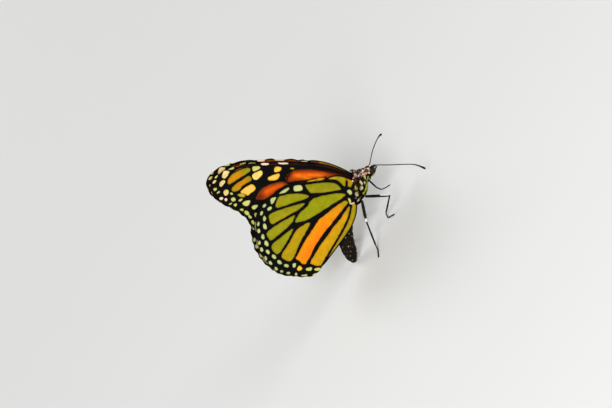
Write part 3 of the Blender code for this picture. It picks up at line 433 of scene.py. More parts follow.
# Pale marks of the coat: colour name, reach, and the two ends of their line
# The rose marks are painted highlights of sunlit fur
BODY_MARKS = (
    # The lime marks are painted green reflection on the flanks and belly
    ("lime_reflection", 0.46, (-0.5, 2.9, 14.5), (0.1, 2.8, 15.4)),
    ("cream", 0.54, (-2.1, 2.9, 13.1), (-1.7, 2.9, 13.6)),
    ("rose_highlight", 0.36, (-3.5, 2.5, 12.5), (-3.4, 2.5, 13.1)),
    ("cream", 0.46, (1.7, 2.8, 13.6), (2.1, 2.7, 14.3)),
    ("cream", 0.46, (0.3, 2.9, 12.6), (0.6, 2.8, 13.0)),
    ("white", 0.5, (3.5, 2.1, 15.9), (4.3, 2.0, 15.4)),
    ("white", 0.5, (4.9, 1.4, 14.9), (5.6, 1.2, 14.7)),
    ("white", 0.36, (6.8, 0.9, 13.6), (7.0, 0.9, 13.4)),
    ("rose_highlight", 0.4, (6.6, 1.4, 12.9), (6.9, 1.3, 12.5)),
    ("cream", 0.36, (5.8, 1.6, 12.9), (6.0, 1.6, 12.6)),
    ("rose_highlight", 0.32, (4.0, 2.0, 14.7), (5.7, 1.6, 13.4)),
    ("rose_highlight", 0.45, (3.9, 1.0, 16.3), (4.3, 0.9, 16.1)),
    ("rose_highlight", 0.4, (2.9, 2.1, 16.3), (3.2, 2.0, 16.6)),
    ("white", 0.34, (3.0, 2.0, 17.0), (3.4, 1.5, 17.0)),
    ("cream", 0.38, (3.9, 2.1, 13.2), (4.2, 2.0, 13.8)),
    ("lime_reflection", 0.46, (3.6, 1.9, 11.7), (4.5, 1.8, 12.3)),
    ("cream", 0.36, (2.5, 2.5, 12.6), (2.7, 2.5, 13.0)),
    ("lime_reflection", 0.5, (-0.5, 2.5, 11.0), (0.6, 2.4, 11.2)),
    ("lime_reflection", 0.6, (1.2, 2.0, 11.0), (2.6, 1.8, 11.5)),
    ("lime_reflection", 0.55, (0.4, 1.2, 10.0), (2.4, 1.2, 10.8)),
    ("lime_reflection", 0.34, (-2.7, 2.3, 11.2), (-2.2, 2.3, 11.4)),
    ("cream", 0.34, (-3.6, 2.1, 11.4), (-3.3, 2.1, 11.3)),
    ("white", 0.3, (7.8, 0.85, 11.8), (9.1, 0.88, 11.55)),
    ("white", 0.3, (7.9, 0.5, 13.2), (8.2, 0.3, 13.1)),
    ("rose_highlight", 0.26, (6.1, 0.6, 14.2), (6.4, 0.4, 14.1)),
    ("lime_reflection", 0.3, (5.0, 1.1, 11.0), (6.8, 0.8, 10.5)),
    ("cream", 0.28, (4.8, 1.7, 13.9), (5.0, 1.7, 14.1)),
    ("rose_highlight", 0.36, (2.0, 1.2, 16.6), (2.4, 1.2, 16.5)),
    ("cream", 0.32, (0.2, 1.4, 16.7), (0.5, 1.4, 16.7)),
    ("rose_highlight", 0.36, (-1.8, 1.3, 16.2), (-1.5, 1.3, 16.3)),
    ("rose_highlight", 0.3, (5.2, 0.5, 15.0), (5.4, 0.3, 14.9)),
)
# Where reddish brown sets in on the top of head and back, painted sunlight on the black fur: ahead and
# height, each with its soft edge's width
SUNLIT_FUR = (((4.8, 0.8), (12.1, 0.6)), ((-5.0, 3.0), (13.8, 2.2)))
# The pale flecks keep to the lower flanks and gather at the tip of the abdomen
FLANK_TURN = 0.34
TIP_SHARE = 0.13
FLECK_LEVEL = 1.6
# The way the fur lies, how much it strays and how deep it is rooted
FUR_BACK = (-1.0, 0.0, -0.25)
FUR_STRAY = 0.22
FUR_ROOT = 0.06
TUFT_SIDES = 3
# Width of a tuft's patch and of the free edge on the body's map
BAKE_PATCH = 0.003
MAP_EDGE = 0.01

# The middle of the picture
LOOK_AT = (-12.738, 5.567, 23.082)
LENS = 200
FLOOR_SIZE = 8.0
# Lights: name, place from the middle of the picture, size, share of the main light's power
LIGHTS = (
    ("key", (-0.25, -0.72, 0.58), 0.45, 1.0),
    ("fill", (0.75, -0.35, 0.35), 0.6, 0.46),
    ("back", (-0.2, 0.75, 0.65), 0.5, 0.5),
)

SEED = 11
SIDES = (("left", 1), ("right", -1))
# Steps in each span of a curve
RIM_STEPS = 12
PATTERN_STEPS = 4
BODY_STEPS = 6
# Waves in a mottled value, and how far they add up
WAVES = 6
WAVES_REACH = 2.4
# The depth of a point that lies in no shape
OUTSIDE = -9.0
# Width of the narrow edge between two colours of a wing
EDGE = 0.12
# How far outside a shape its depth is still measured
PATCH_REACH = 1.5
# How far the edges of the colours wander, and over what length
RAGGED = 0.04
RAGGED_SIZE = 1.6
# Width of the black border of a wing's rim
RIM_BORDER = 0.42
# Length of a spot as a share of its width
SPOT_STRETCH = 1.6
# A vein that ends this near the rim holds it out, and the rim dips most this far from it
VEIN_END = 2.2
SCALLOP_REACH = 1.6
# The membrane dips this far from a vein
DIP_REACH = 0.9
# Repeats a metre of the scales, of their dust and of ragged edges, and height of the scales
GRAIN = 9000.0
DUST = 700.0
FRAY = 3000.0
SCALE_HEIGHT = 0.00004

PALETTE = (
    ("black", "Veins and margins", (0.0022, 0.0016, 0.0014)),
    ("ember", "Deep red orange of the forewing", (0.56, 0.075, 0.004)),
    ("rust", "Brownish red shade of the forewing", (0.14, 0.014, 0.003)),
    ("brown", "Brown shade of the forewing", (0.17, 0.045, 0.003)),
    ("umber", "Dark brown streaks of the front edge", (0.075, 0.018, 0.003)),
    ("bronze", "Brown yellow streak of the front edge", (0.36, 0.21, 0.008)),
    ("copper", "Orange brown strokes near the wing tip", (0.63, 0.215, 0.003)),
    ("scarlet", "Hot strokes of the forewing", (0.96, 0.12, 0.003)),
    # Painted light: flame stands for sunlight shining through the wing
    ("flame", "Bright orange cell and strokes", (0.93, 0.25, 0.004)),
    ("amber", "Golden orange cells", (0.66, 0.33, 0.004)),
    ("ochre", "Golden brown cells", (0.43, 0.29, 0.004)),
    # Painted shade: olive and moss stand for the pale buff under side in shade, tinted by green reflected
    # light
    ("olive_shade", "Olive cells of the hindwing", (0.305, 0.275, 0.006)),
    ("moss_shade", "Greenest cell of the hindwing", (0.30, 0.30, 0.004)),
    ("yolk", "Yellow blocks of the forewing", (0.93, 0.52, 0.02)),
    ("straw", "Pale yellow block of the forewing", (0.93, 0.66, 0.12)),
    # Painted shade: lime and mint stand for white spots in shade, tinted by green reflected light
    ("lime_reflection", "Yellow green spots", (0.56, 0.56, 0.13)),
    ("mint_reflection", "Pale green spots of the hindwing", (0.50, 0.57, 0.19)),
    ("cream", "Pale spots of the forewing", (0.84, 0.62, 0.22)),
    # Painted sunlight: shell stands for white spots lit by direct sun
    ("shell", "Pink white marks of the front edge", (0.95, 0.68, 0.48)),
    ("upper", "Orange of the wings' upper sides", (0.72, 0.15, 0.005)),
)


def colour_property(label, text, default):
    return FloatVectorProperty(name=label, description=text, subtype="COLOR", size=3,
                               min=0.0, max=1.0, default=default)


def length_property(label, text, millimetres):
    return FloatProperty(name=label, description=text, subtype="DISTANCE", unit="LENGTH",
                         precision=5, min=0.0, default=millimetres * MM)


class WingSettings(PropertyGroup):
    """Sizes and colours of the four wings."""
    grid: length_property("Grid", "Distance between the points of a wing", 0.2)
    membrane: length_property("Membrane", "Thickness of a wing between its veins", 0.16)
    vein: length_property("Vein", "Thickness of a wing at its veins", 0.44)
    vein_reach: length_property("Vein reach", "How far a vein's ridge spreads", 0.24)
    hollow: length_property("Hollow", "How far the membrane dips between veins", 0.12)
    scallop: length_property("Scallop", "Depth of the waves of the outer margin", 0.35)
    fringe: length_property("Fringe", "Width of the pale fringe between the veins", 0.18)
    __annotations__.update({key: colour_property(key.capitalize(), text, value)
                            for key, text, value in PALETTE})


class CoatSettings(PropertyGroup):
    """Sizes and colours of the body's skin and fur."""
    voxel: length_property("Voxel", "Fineness of the skin", 0.12)
    thorax: IntProperty(name="Tufts", description="Tufts on the thorax", default=17000, min=0)
    abdomen: IntProperty(name="Abdomen tufts", description="Tufts on the abdomen", default=14000,
                         min=0)
    head: IntProperty(name="Head tufts", description="Tufts on the head", default=7000, min=0)
    length: length_property("Length", "Length of the thorax's fur", 0.65)
    short: length_property("Short length", "Length of the head's fur", 0.38)
    dark: colour_property("Dark", "Black fur", (0.009, 0.006, 0.003))
    # Painted sunlight: this reddish brown stands for the black fur lit on the top of head and back
    brown: colour_property("Brown", "Reddish brown fur of back and face", (0.13, 0.040, 0.026))
    white: colour_property("White", "White marks", (1.0, 0.95, 0.86))
    cream: colour_property("Cream", "Cream marks", (0.95, 0.84, 0.46))
    # Painted highlight: the pinkish colour of sunlit fur
    rose_highlight: colour_property("Rose", "Pinkish marks", (0.92, 0.55, 0.38))
    # Painted reflection: green light thrown up onto the pale marks of flanks and belly
    lime_reflection: colour_property("Lime_reflection", "Yellow green marks", (0.70, 0.74, 0.10))
    fleck: colour_property("Fleck", "Pale flecks of the abdomen", (0.34, 0.31, 0.16))


class LimbSettings(PropertyGroup):
    """Sizes and colours of the feelers, legs, palps and eyes."""
    feeler: length_property("Feeler", "Half thickness of a feeler", 0.15)
    club: length_property("Club", "Half thickness of a feeler's club", 0.36)
    horn: colour_property("Horn", "Black of legs and feelers", (0.005, 0.0045, 0.003))
    patch: colour_property("Patch", "White patches of the legs", (0.80, 0.78, 0.72))
    eye: colour_property("Eye", "Dark brown of the eyes", (0.008, 0.005, 0.004))


class StageSettings(PropertyGroup):
    """Floor, lights and camera."""
    floor: colour_property("Floor", "Colour of the floor", (0.72, 0.72, 0.70))
    elevation: FloatProperty(name="Elevation", description="Camera's angle above the floor",
                             subtype="ANGLE", unit="ROTATION", default=math.radians(25))
    roll: FloatProperty(name="Roll", description="Turn of the camera about its line of sight",
                        subtype="ANGLE", unit="ROTATION", default=math.radians(60))
    distance: length_property("Distance", "Distance from the camera to the butterfly", 1079.4)
    key: FloatProperty(name="Key", description="Power of the main light", unit="POWER",
                       default=6.5, min=0.0)


class MonarchSettings(PropertyGroup):
    """All the settings of the butterfly's finish."""
    wing: PointerProperty(type=WingSettings)
    coat: PointerProperty(type=CoatSettings)
    limb: PointerProperty(type=LimbSettings)
    stage: PointerProperty(type=StageSettings)


def place(x, y, z):
    """A point of the butterfly in the frame, in metres."""
    return Vector((x + AHEAD, y + ASIDE, z)) * MM


def placed(points):
    """The same for an array of points."""
    return (np.asarray(points) + (AHEAD, ASIDE, 0.0)) * MM


def measured(mesh):
    """A mesh's corners from the floor under the thorax, in millimetres."""
    flat = np.empty(len(mesh.vertices) * 3)
    mesh.vertices.foreach_get("co", flat)
    return flat.reshape(-1, 3) / MM - (AHEAD, ASIDE, 0.0)


def travelled(line):
    """How far along a broken line each of its points lies."""
    return np.concatenate(([0], np.cumsum(np.linalg.norm(np.diff(line, axis=0), axis=1))))


def ring(loop):
    """A loop with its first point again at its end."""
    return np.vstack((loop, loop[:1]))


def unit(vectors):
    """The same directions with the length one."""
    return vectors / np.maximum(np.linalg.norm(vectors, axis=-1, keepdims=True), 1e-9)


def bell(away, reach):
    """One at no distance, and hardly anything beyond twice the reach."""
    return np.exp(-((away / reach) ** 2))


def rise(values, start, width):
    """Nothing up to the start, one from the width after it, and a straight slope between."""
    return np.clip((values - start) / width, 0, 1)


def steady(value):
    """The same value at every point."""
    return lambda points: np.full(len(points), value)


def blended(colours, colour, share):
    """The colours with a share of another one mixed in."""
    return colours * (1 - share[:, None]) + np.array(colour) * share[:, None]


def smooth(points, steps, closed=False):
    """A Catmull-Rom curve through the points, with the same number of steps in each span."""
    given = [np.array(p, float) for p in points]
    count = len(given)
    curve = []
    for i in range(count if closed else count - 1):
        before = given[i - 1] if closed or i else given[0]
        here = given[i]
        there = given[(i + 1) % count]
        after = given[(i + 2) % count] if closed or i + 2 < count else there
        for step in range(steps):
            t = step / steps
            curve.append(0.5 * (
                2 * here + (there - before) * t
                + (2 * before - 5 * here + 4 * there - after) * t ** 2
                + (3 * here - before - 3 * there + after) * t ** 3
            ))
    if not closed:
        curve.append(given[-1])
    return np.array(curve)


def even(points, step):
    """The same line with its points an even step apart."""
    line = np.asarray(points)
    run = travelled(line)
    marks = np.linspace(0, run[-1], max(2, round(run[-1] / step)) + 1)
    return np.stack([np.interp(marks, run, line[:, k]) for k in range(line.shape[1])], axis=1)


def distance(points, line):
    """The distance from each point to a broken line."""
    best = np.full(len(points), np.inf)
    for start, run in zip(line[:-1], np.diff(line, axis=0)):
        share = np.clip((points - start) @ run / (run @ run), 0, 1)
        best = np.minimum(best, np.linalg.norm(points - start - share[:, None] * run, axis=1))
    return best


def within(points, loop):
    """Whether each point lies inside a closed line."""
    x, z = points.T
    crossed = np.zeros(len(points), bool)
    for (ax, az), (bx, bz) in zip(loop, np.roll(loop, -1, axis=0)):
        if az != bz:
            crossed ^= ((az > z) != (bz > z)) & (x < ax + (bx - ax) * (z - az) / (bz - az))
    return crossed


def mottle(points, size, seed):
    """A wandering value between about minus one and one, smooth over the given size."""
    random = np.random.default_rng(seed)
    total = np.zeros(len(points))
    for _ in range(WAVES):
        wave = random.normal(0, 1, 3)
        wave *= 2 * math.pi / size / np.linalg.norm(wave) * random.uniform(0.6, 1.5)
        total += np.sin(points @ wave + random.uniform(0, 2 * math.pi))
    return total / WAVES_REACH


def depth(points, loop):
    """How deep each point lies inside a closed line; outside it is less than nothing."""
    away = distance(points, ring(loop))
    return np.where(within(points, loop), away, -away)


def select(*items):
    """Select these objects alone, the first as the active one."""
    bpy.ops.object.select_all(action="DESELECT")
    for item in items:
        item.select_set(True)
    bpy.context.view_layer.objects.active = items[0]


def modify(item, kind, **values):
    """Add a modifier, set it and apply it."""
    select(item)
    added = item.modifiers.new(kind.title(), kind)
    for key, value in values.items():
        setattr(added, key, value)
    bpy.ops.object.modifier_apply(modifier=added.name)


def join(items, name):
    """Make several meshes one."""
    select(*items)
    bpy.ops.object.join()
    items[0].name = name
    items[0].data.name = name
    return items[0]


def new_object(name, mesh):
    """Put a mesh or a curve into the scene."""
    made = bpy.data.objects.new(name, mesh)
    bpy.context.scene.collection.objects.link(made)
    return made


def finish(item, material, slot, *nodes):
    """Give a piece its material, let it ride with the butterfly and stand for its nodes."""
    if material:
        item.data.materials.clear()
        item.data.materials.append(material)
    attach(item, "root")
    if nodes:
        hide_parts(*nodes)
    return item


def keep(mesh, name, values):
    """Store a number or a colour on each corner of a mesh."""
    values = np.asarray(values, float)
    if values.ndim == 1:
        mesh.attributes.new(name, "FLOAT", "POINT").data.foreach_set("value", values)
        return
    full = np.ones((len(values), 4))
    full[:, :3] = values
    mesh.attributes.new(name, "FLOAT_COLOR", "POINT").data.foreach_set("color", full.ravel())


# Materials


class Nodes:
    """A short way to lay out a material's nodes."""

    def __init__(self, name, roughness, **sockets):
        self.material = bpy.data.materials.new(name)
        self.material.use_nodes = True
        self.tree = self.material.node_tree
        self.shader = self.tree.nodes["Principled BSDF"]
        self.shader.inputs["Roughness"].default_value = roughness
        for key, value in sockets.items():
            self.shader.inputs[key.replace("_", " ")].default_value = value

    def add(self, kind, **values):
        """A new node with its settings."""
        made = self.tree.nodes.new(kind)
        for key, value in values.items():
            setattr(made, key, value)
        return made

    def link(self, source, target):
        self.tree.links.new(source, target)

    def set(self, socket, value):
        """Link a socket, or give it a number or a colour."""
        if isinstance(value, bpy.types.NodeSocket):
            self.link(value, socket)
        elif hasattr(value, "__len__") and len(value) == 3 and socket.type == "RGBA":
            socket.default_value = (*value, 1.0)
        else:
            socket.default_value = value

    def number(self, name):
        """A number kept on the mesh."""
        return self.add("ShaderNodeAttribute", attribute_name=name).outputs["Fac"]

    def colour(self, name):
        """A colour kept on the mesh."""
        return self.add("ShaderNodeAttribute", attribute_name=name).outputs["Color"]

    def texture(self, kind, scale):
        """A texture that lies still on the object."""
        made = self.add(kind)
        made.inputs["Scale"].default_value = scale
        self.link(self.add("ShaderNodeTexCoord").outputs["Object"], made.inputs["Vector"])
        return made

    def noise(self, scale, detail=3.0):
        made = self.texture("ShaderNodeTexNoise", scale)
        made.inputs["Detail"].default_value = detail
        return made.outputs["Fac"]

    def cells(self, scale):
        return self.texture("ShaderNodeTexVoronoi", scale).outputs["Distance"]

    def math(self, operation, first, second=0.0):
        made = self.add("ShaderNodeMath", operation=operation)
        self.set(made.inputs[0], first)
        self.set(made.inputs[1], second)
        return made.outputs[0]

    def ramp(self, value, low, high, start=0.0, end=1.0):
        """From start to end while the value goes from low to high."""
        made = self.add("ShaderNodeMapRange")
        for socket, given in zip(made.inputs, (value, low, high, start, end)):
            self.set(socket, given)
        return made.outputs["Result"]

    def mix(self, factor, first, second, blend="MIX"):
        made = self.add("ShaderNodeMix", data_type="RGBA", blend_type=blend)
        self.set(made.inputs[0], factor)
        self.set(made.inputs[6], first)
        self.set(made.inputs[7], second)
        return made.outputs[2]

    def shaded(self, colour, shade):
        return self.mix(1.0, colour, shade, "MULTIPLY")

    def fray(self, detail, reach):
        """A small wandering value for ragged edges."""
        return self.math("MULTIPLY", self.math("SUBTRACT", self.noise(FRAY, detail), 0.5), reach)

    def inside(self, name, fray):
        """One inside the shapes with this depth and nothing outside, with a ragged edge."""
        return self.ramp(self.math("ADD", self.number(name), fray), -EDGE / 2, EDGE / 2)

    def bump(self, height, strength, distance):
        made = self.add("ShaderNodeBump")
        made.inputs["Strength"].default_value = strength
        made.inputs["Distance"].default_value = distance
        self.link(height, made.inputs["Height"])
        self.link(made.outputs["Normal"], self.shader.inputs["Normal"])

    def base(self, colour):
        self.set(self.shader.inputs["Base Color"], colour)


def wing_material(name, wing, under):
    """Black veins and margins round coloured cells and pale spots, under a dust of scales."""
    graph = Nodes(name, 0.75, Specular_IOR_Level=0.07)
    fray = graph.fray(4.0, 0.1)
    dust = graph.ramp(graph.noise(DUST), 0.25, 0.75, 0.84, 1.12)
    grain = graph.ramp(graph.cells(GRAIN), 0.0, 0.9, 1.08, 0.88)
    scales = graph.math("MULTIPLY", dust, grain)
    edge = graph.ramp(graph.number("open"), 0.0, 0.5, 0.72, 1.0)
    cell = graph.colour("cell") if under else wing.upper
    tinted = graph.shaded(cell, graph.math("MULTIPLY", scales, edge))
    whole = graph.mix(graph.inside("open", fray), wing.black, tinted)
    if not under:
        whole = graph.mix(graph.inside("streak", fray), whole, graph.colour("streak_colour"))
    middle = graph.math("ADD", graph.number("spot"), graph.math("MULTIPLY", fray, 4.0))
    # Each spot's middle takes up to a fifth of the shell colour, painted sunlight
    pale = graph.mix(graph.ramp(middle, 0.1, 0.65, 0.0, 0.2), graph.colour("mark"), wing.shell)
    pale = graph.shaded(pale, graph.ramp(graph.number("spot"), 0.0, 0.25, 0.7, 1.0))
    whole = graph.mix(graph.inside("spot", fray), whole, graph.shaded(pale, scales))
    near_edge = graph.ramp(graph.number("rim"), wing.fringe / MM * 0.7, wing.fringe / MM, 1.0, 0.0)
    between = graph.ramp(graph.number("between"), 1.35, 1.5, 0.0, 0.42)
    graph.base(graph.mix(graph.math("MULTIPLY", near_edge, between), whole, wing.cream))
    graph.bump(graph.cells(GRAIN), 0.3, SCALE_HEIGHT)
    return graph.material


def coat_material(name, roughness=0.7):
    """Fur and skin that carry their colour on their corners."""
    graph = Nodes(name, roughness, Specular_IOR_Level=0.06)
    dust = graph.ramp(graph.noise(1500.0), 0.3, 0.7, 0.86, 1.15)
    graph.base(graph.shaded(graph.colour("coat"), dust))
    graph.bump(graph.noise(5200.0, 4.0), 0.5, 0.00008)
    return graph.material


def horn_material(name, dark, pale, roughness=0.34):
    """Black shell with the white patches kept on its corners."""
    graph = Nodes(name, roughness, Specular_IOR_Level=0.12)
    marked = graph.ramp(graph.math("ADD", graph.number("pale"), graph.fray(3.0, 0.9)), 0.35, 0.65)
    worn = graph.mix(graph.ramp(graph.noise(DUST), 0.45, 0.8, 0.0, 0.3), dark, (0.02, 0.015, 0.009))
    graph.base(graph.mix(marked, worn, pale))
    graph.bump(graph.cells(7000.0), 0.4, 0.00005)
    return graph.material


def eye_material(name, colour):
    """Dark glossy facets."""
    graph = Nodes(name, 0.35, Specular_IOR_Level=0.14)
    warm = graph.ramp(graph.noise(900.0), 0.4, 0.7)
    graph.base(graph.mix(warm, colour, (0.034, 0.014, 0.009)))
    graph.bump(graph.cells(11000.0), 0.6, 0.00005)
    return graph.material


# Wings


def forewing_aside(points):
    """How far the middle of a forewing stands from the butterfly's middle plane."""
    rise = (points[:, 1] - ROOT_HEIGHT) / (TIP_HEIGHT - ROOT_HEIGHT)
    return FOREWING_ROOT_ASIDE + (FOREWING_TIP_ASIDE - FOREWING_ROOT_ASIDE) * rise


def hindwing_aside(points):
    """The hindwing lies outside the forewing and swells round the abdomen."""
    away = distance(points, np.array((BELLY_FRONT, BELLY_REAR)))
    return forewing_aside(points) + HINDWING_OUTSIDE + BELLY_BULGE * bell(away, BELLY_REACH)


def scalloped(outline, ends, step, scallop):
    """The wing's rim, drawn in between the ends of the veins."""
    rim = even(ring(smooth(outline, RIM_STEPS, closed=True)), step)[:-1]
    slope = unit(np.roll(rim, -1, axis=0) - np.roll(rim, 1, axis=0))
    inward = np.stack((-slope[:, 1], slope[:, 0]), axis=1)
    if not within(rim[:1] + inward[:1] * step, rim)[0]:
        inward = -inward
    apart = np.min([np.linalg.norm(rim - end, axis=1) for end in ends], axis=0) / SCALLOP_REACH
    return rim + inward * (scallop * apart ** 2 * np.exp(1 - apart ** 2))[:, None]


def wing_plan(outline, veins, wing):
    """The wing's plane split into fine triangles inside its rim."""
    step = wing.grid / MM
    smoothed = smooth(outline, RIM_STEPS, closed=True)
    ends = [np.array(route[-1]) for route in veins.values()]
    ends = [end for end in ends if abs(depth(end[None], smoothed)[0]) < VEIN_END]
    rim = scalloped(outline, ends, step, wing.scallop / MM)
    low, high = rim.min(axis=0), rim.max(axis=0)
    rows = np.arange(low[1], high[1], step * math.sqrt(0.75))
    lattice = [(x + step / 2 * (i % 2), z) for i, z in enumerate(rows)
               for x in np.arange(low[0], high[0], step)]
    lattice = np.array(lattice)
    lattice = lattice[within(lattice, rim)]
    lattice = lattice[distance(lattice, ring(rim)) > step * 0.55]
    corners = [Vector(point) for point in np.vstack((rim, lattice))]
    borders = [(i, (i + 1) % len(rim)) for i in range(len(rim))]
    flat, _, triangles = delaunay_2d_cdt(corners, borders, [], 1, step / 1000)[:3]
    return np.array(flat), triangles, rim, ends


def ovals(points, spots, rim):
    """How deep each point lies in the nearest oval spot along the rim, in millimetres."""
    best = np.full(len(points), OUTSIDE)
    for x, z, width in spots:
        centre = np.array((x, z))
        near = np.linalg.norm(rim - centre, axis=1).argmin()
        along = unit(rim[(near + 2) % len(rim)] - rim[near - 2])
        offset = points - centre
        long = offset @ along / (width * SPOT_STRETCH / 2)
        wide = (offset[:, 0] * along[1] - offset[:, 1] * along[0]) / (width / 2)
        best = np.maximum(best, (1 - np.hypot(long, wide)) * width / 2)
    return best + wander(points)


def wander(points):
    """How far the edges of the wings' colours wander, in millimetres."""
    raised = np.stack((points[:, 0], np.zeros(len(points)), points[:, 1]), axis=1)
    coarse = mottle(raised, RAGGED_SIZE, SEED)
    fine = mottle(raised, RAGGED_SIZE / 2, SEED + 1)
    return RAGGED * (coarse + 0.7 * fine)


class Paint:
    """The deepest of several coloured shapes at each point, with its colour."""

    def __init__(self, points, wing):
        self.points = points
        self.wing = wing
        self.wander = wander(points)
        self.depth = np.full(len(points), OUTSIDE)
        self.colour = np.zeros((len(points), 3))

    def lay(self, key, inner, where=slice(None)):
        """Put a shape where it is deeper than the ones laid before."""
        known, colour = self.depth[where], self.colour[where]
        closer = inner > known
        known[closer] = inner[closer]
        colour[closer] = getattr(self.wing, key)
        self.depth[where], self.colour[where] = known, colour

    def patch(self, key, corners, soft=EDGE):
        """Lay a closed shape; it is only measured near itself."""
        loop = smooth(corners, PATTERN_STEPS, closed=True)
        low, high = loop.min(axis=0) - PATCH_REACH, loop.max(axis=0) + PATCH_REACH
        near = ((self.points > low) & (self.points < high)).all(axis=1)
        inner = depth(self.points[near], loop) + self.wander[near]
        self.lay(key, inner * EDGE / soft, near)

    def streak(self, key, half, soft, line):
        """Lay a stroke of an even width."""
        inner = half - distance(self.points, smooth(line, PATTERN_STEPS)) + self.wander
        self.lay(key, inner * EDGE / soft)

    def glow(self, key, reach, strength, line):
        """Blend a second colour in along a line."""
        share = strength * bell(distance(self.points, np.array(line)), reach)
        self.colour = blended(self.colour, getattr(self.wing, key), share)


def wing_fields(flat, rim, ends, pattern, wing):
    """What a wing's materials and its relief need to know at each point."""
    routes = {name: distance(flat, smooth(route, PATTERN_STEPS))
              for name, route in pattern["veins"].items()}
    cut = np.min([away - BROAD_VEINS.get(name, FINE_VEIN) for name, away in routes.items()], axis=0)
    cells, marks, streaks = Paint(flat, wing), Paint(flat, wing), Paint(flat, wing)
    for cell in pattern["cells"]:
        cells.patch(*cell)
    for streak in pattern["streaks"]:
        cells.streak(*streak)
    for glow in pattern["glows"]:
        cells.glow(*glow)
    for mark in pattern["marks"]:
        marks.patch(*mark)
    marks.lay(pattern["spot_colour"], ovals(flat, pattern["spots"], rim))
    for streak in pattern["upper"]:
        streaks.streak(*streak)
    behind, above = pattern["fringe"]
    outer = (flat[:, 0] < behind) & (flat[:, 1] > above)
    apart = np.min([np.linalg.norm(flat - end, axis=1) for end in ends], axis=0)
    edge = distance(flat, ring(rim))
    return {
        "vein": np.min(list(routes.values()), axis=0),
        "open": np.minimum(np.minimum(cells.depth, cut), edge - RIM_BORDER),
        "cell": cells.colour,
        "spot": marks.depth,
        "mark": marks.colour,
        "streak": np.minimum(streaks.depth, edge - RIM_BORDER / 2),
        "streak_colour": streaks.colour,
        "rim": edge,
        "between": np.where(outer, apart, 0.0),
    }


def make_wing(name, plan, fields, aside, sign, shift, wing, materials):
    """One wing: a fine sheet with dips between its veins, given a wall that swells at them."""
    flat, triangles = plan
    ridge = bell(fields["vein"], wing.vein_reach / MM)
    dip = wing.hollow / MM * (1 - bell(fields["vein"], DIP_REACH))
    across = sign * (aside(flat) - dip)
    mesh = bpy.data.meshes.new(name)
    corners = placed(np.stack((flat[:, 0] + shift[0], across, flat[:, 1] + shift[1]), axis=1))
    faces = [triangle if sign < 0 else triangle[::-1] for triangle in triangles]
    mesh.from_pydata(corners.tolist(), [], faces)
    for key, values in fields.items():
        keep(mesh, key, values)
    made = new_object(name, mesh)
    group = made.vertex_groups.new(name="veins")
    for index, weight in enumerate(ridge):
        group.add((index,), float(weight), "REPLACE")
    modify(made, "SOLIDIFY", thickness=wing.vein, offset=0.0, vertex_group="veins",
           thickness_vertex_group=wing.membrane / wing.vein)
    made.vertex_groups.clear()
    select(made)
    bpy.ops.object.shade_smooth_by_angle(angle=math.radians(50))
    for material in materials:
        made.data.materials.append(material)
    for face in made.data.polygons:
        face.material_index = 1 if face.normal.y * sign < -0.2 else 0
    return finish(made, None, name.split("_")[0], name)


def make_pair(kind, outline, pattern, aside, wing, shift=(0.0, 0.0)):
    """A left and a right wing; the left one may stand a little ahead and higher."""
    flat, triangles, rim, ends = wing_plan(outline, pattern["veins"], wing)
    fields = wing_fields(flat, rim, ends, pattern, wing)
    materials = (wing_material(f"{kind}_under_side", wing, True),
                 wing_material(f"{kind}_upper_side", wing, False))
    for side, sign in SIDES:
        offset = shift if sign > 0 else (0.0, 0.0)
        make_wing(f"{kind}_{side}", (flat, triangles), fields, aside, sign, offset, wing, materials)


# Body


def settle(mesh):
    """Put the faces of a new sphere, whose order varies from run to run, in one fixed order."""
    corners = [tuple(corner.co) for corner in mesh.vertices]
    faces = []
    for face in mesh.polygons:
        loop = list(face.vertices)
        first = loop.index(min(loop))
        faces.append(loop[first:] + loop[:first])
    mesh.clear_geometry()
    mesh.from_pydata(corners, [], sorted(faces))


def ball(name, centre, radii, segments=40, rings=28):
    """A sphere stretched to its half sizes."""
    bpy.ops.object.select_all(action="DESELECT")
    bpy.ops.mesh.primitive_uv_sphere_add(segments=segments, ring_count=rings, radius=1.0,
                                         location=place(*centre))
    made = bpy.context.object
    made.name = name
    made.scale = [radius * MM for radius in radii]
    bpy.ops.object.transform_apply(location=True, rotation=True, scale=True)
    settle(made.data)
    return made


def tube(name, route, radii, sides=4):
    """A bevelled curve through the points, made a mesh with closed ends."""
    curve = bpy.data.curves.new(name, "CURVE")
    curve.dimensions = "3D"
    curve.bevel_depth = MM
    curve.bevel_resolution = sides
    curve.use_fill_caps = True
    spline = curve.splines.new("POLY")
    spline.points.add(len(route) - 1)
    for target, point, radius in zip(spline.points, route, radii):
        target.co = (*place(*point), 1.0)
        target.radius = radius
    made = new_object(name, curve)
    select(made)
    bpy.ops.object.convert(target="MESH")
    made = bpy.context.object
    bpy.ops.object.mode_set(mode="EDIT")
    bpy.ops.mesh.select_all(action="SELECT")
    bpy.ops.mesh.remove_doubles(threshold=MM / 1000)
    bpy.ops.mesh.normals_make_consistent(inside=False)
    bpy.ops.object.mode_set(mode="OBJECT")
    bpy.ops.object.shade_smooth_by_angle(angle=math.radians(60))
    return made


def body_line():
    """The middle line of the whole body from the abdomen's tip to the face."""
    tail = [(x, z) for x, z, _ in reversed(ABDOMEN)]
    return smooth([*tail, *BODY_LINE], BODY_STEPS)


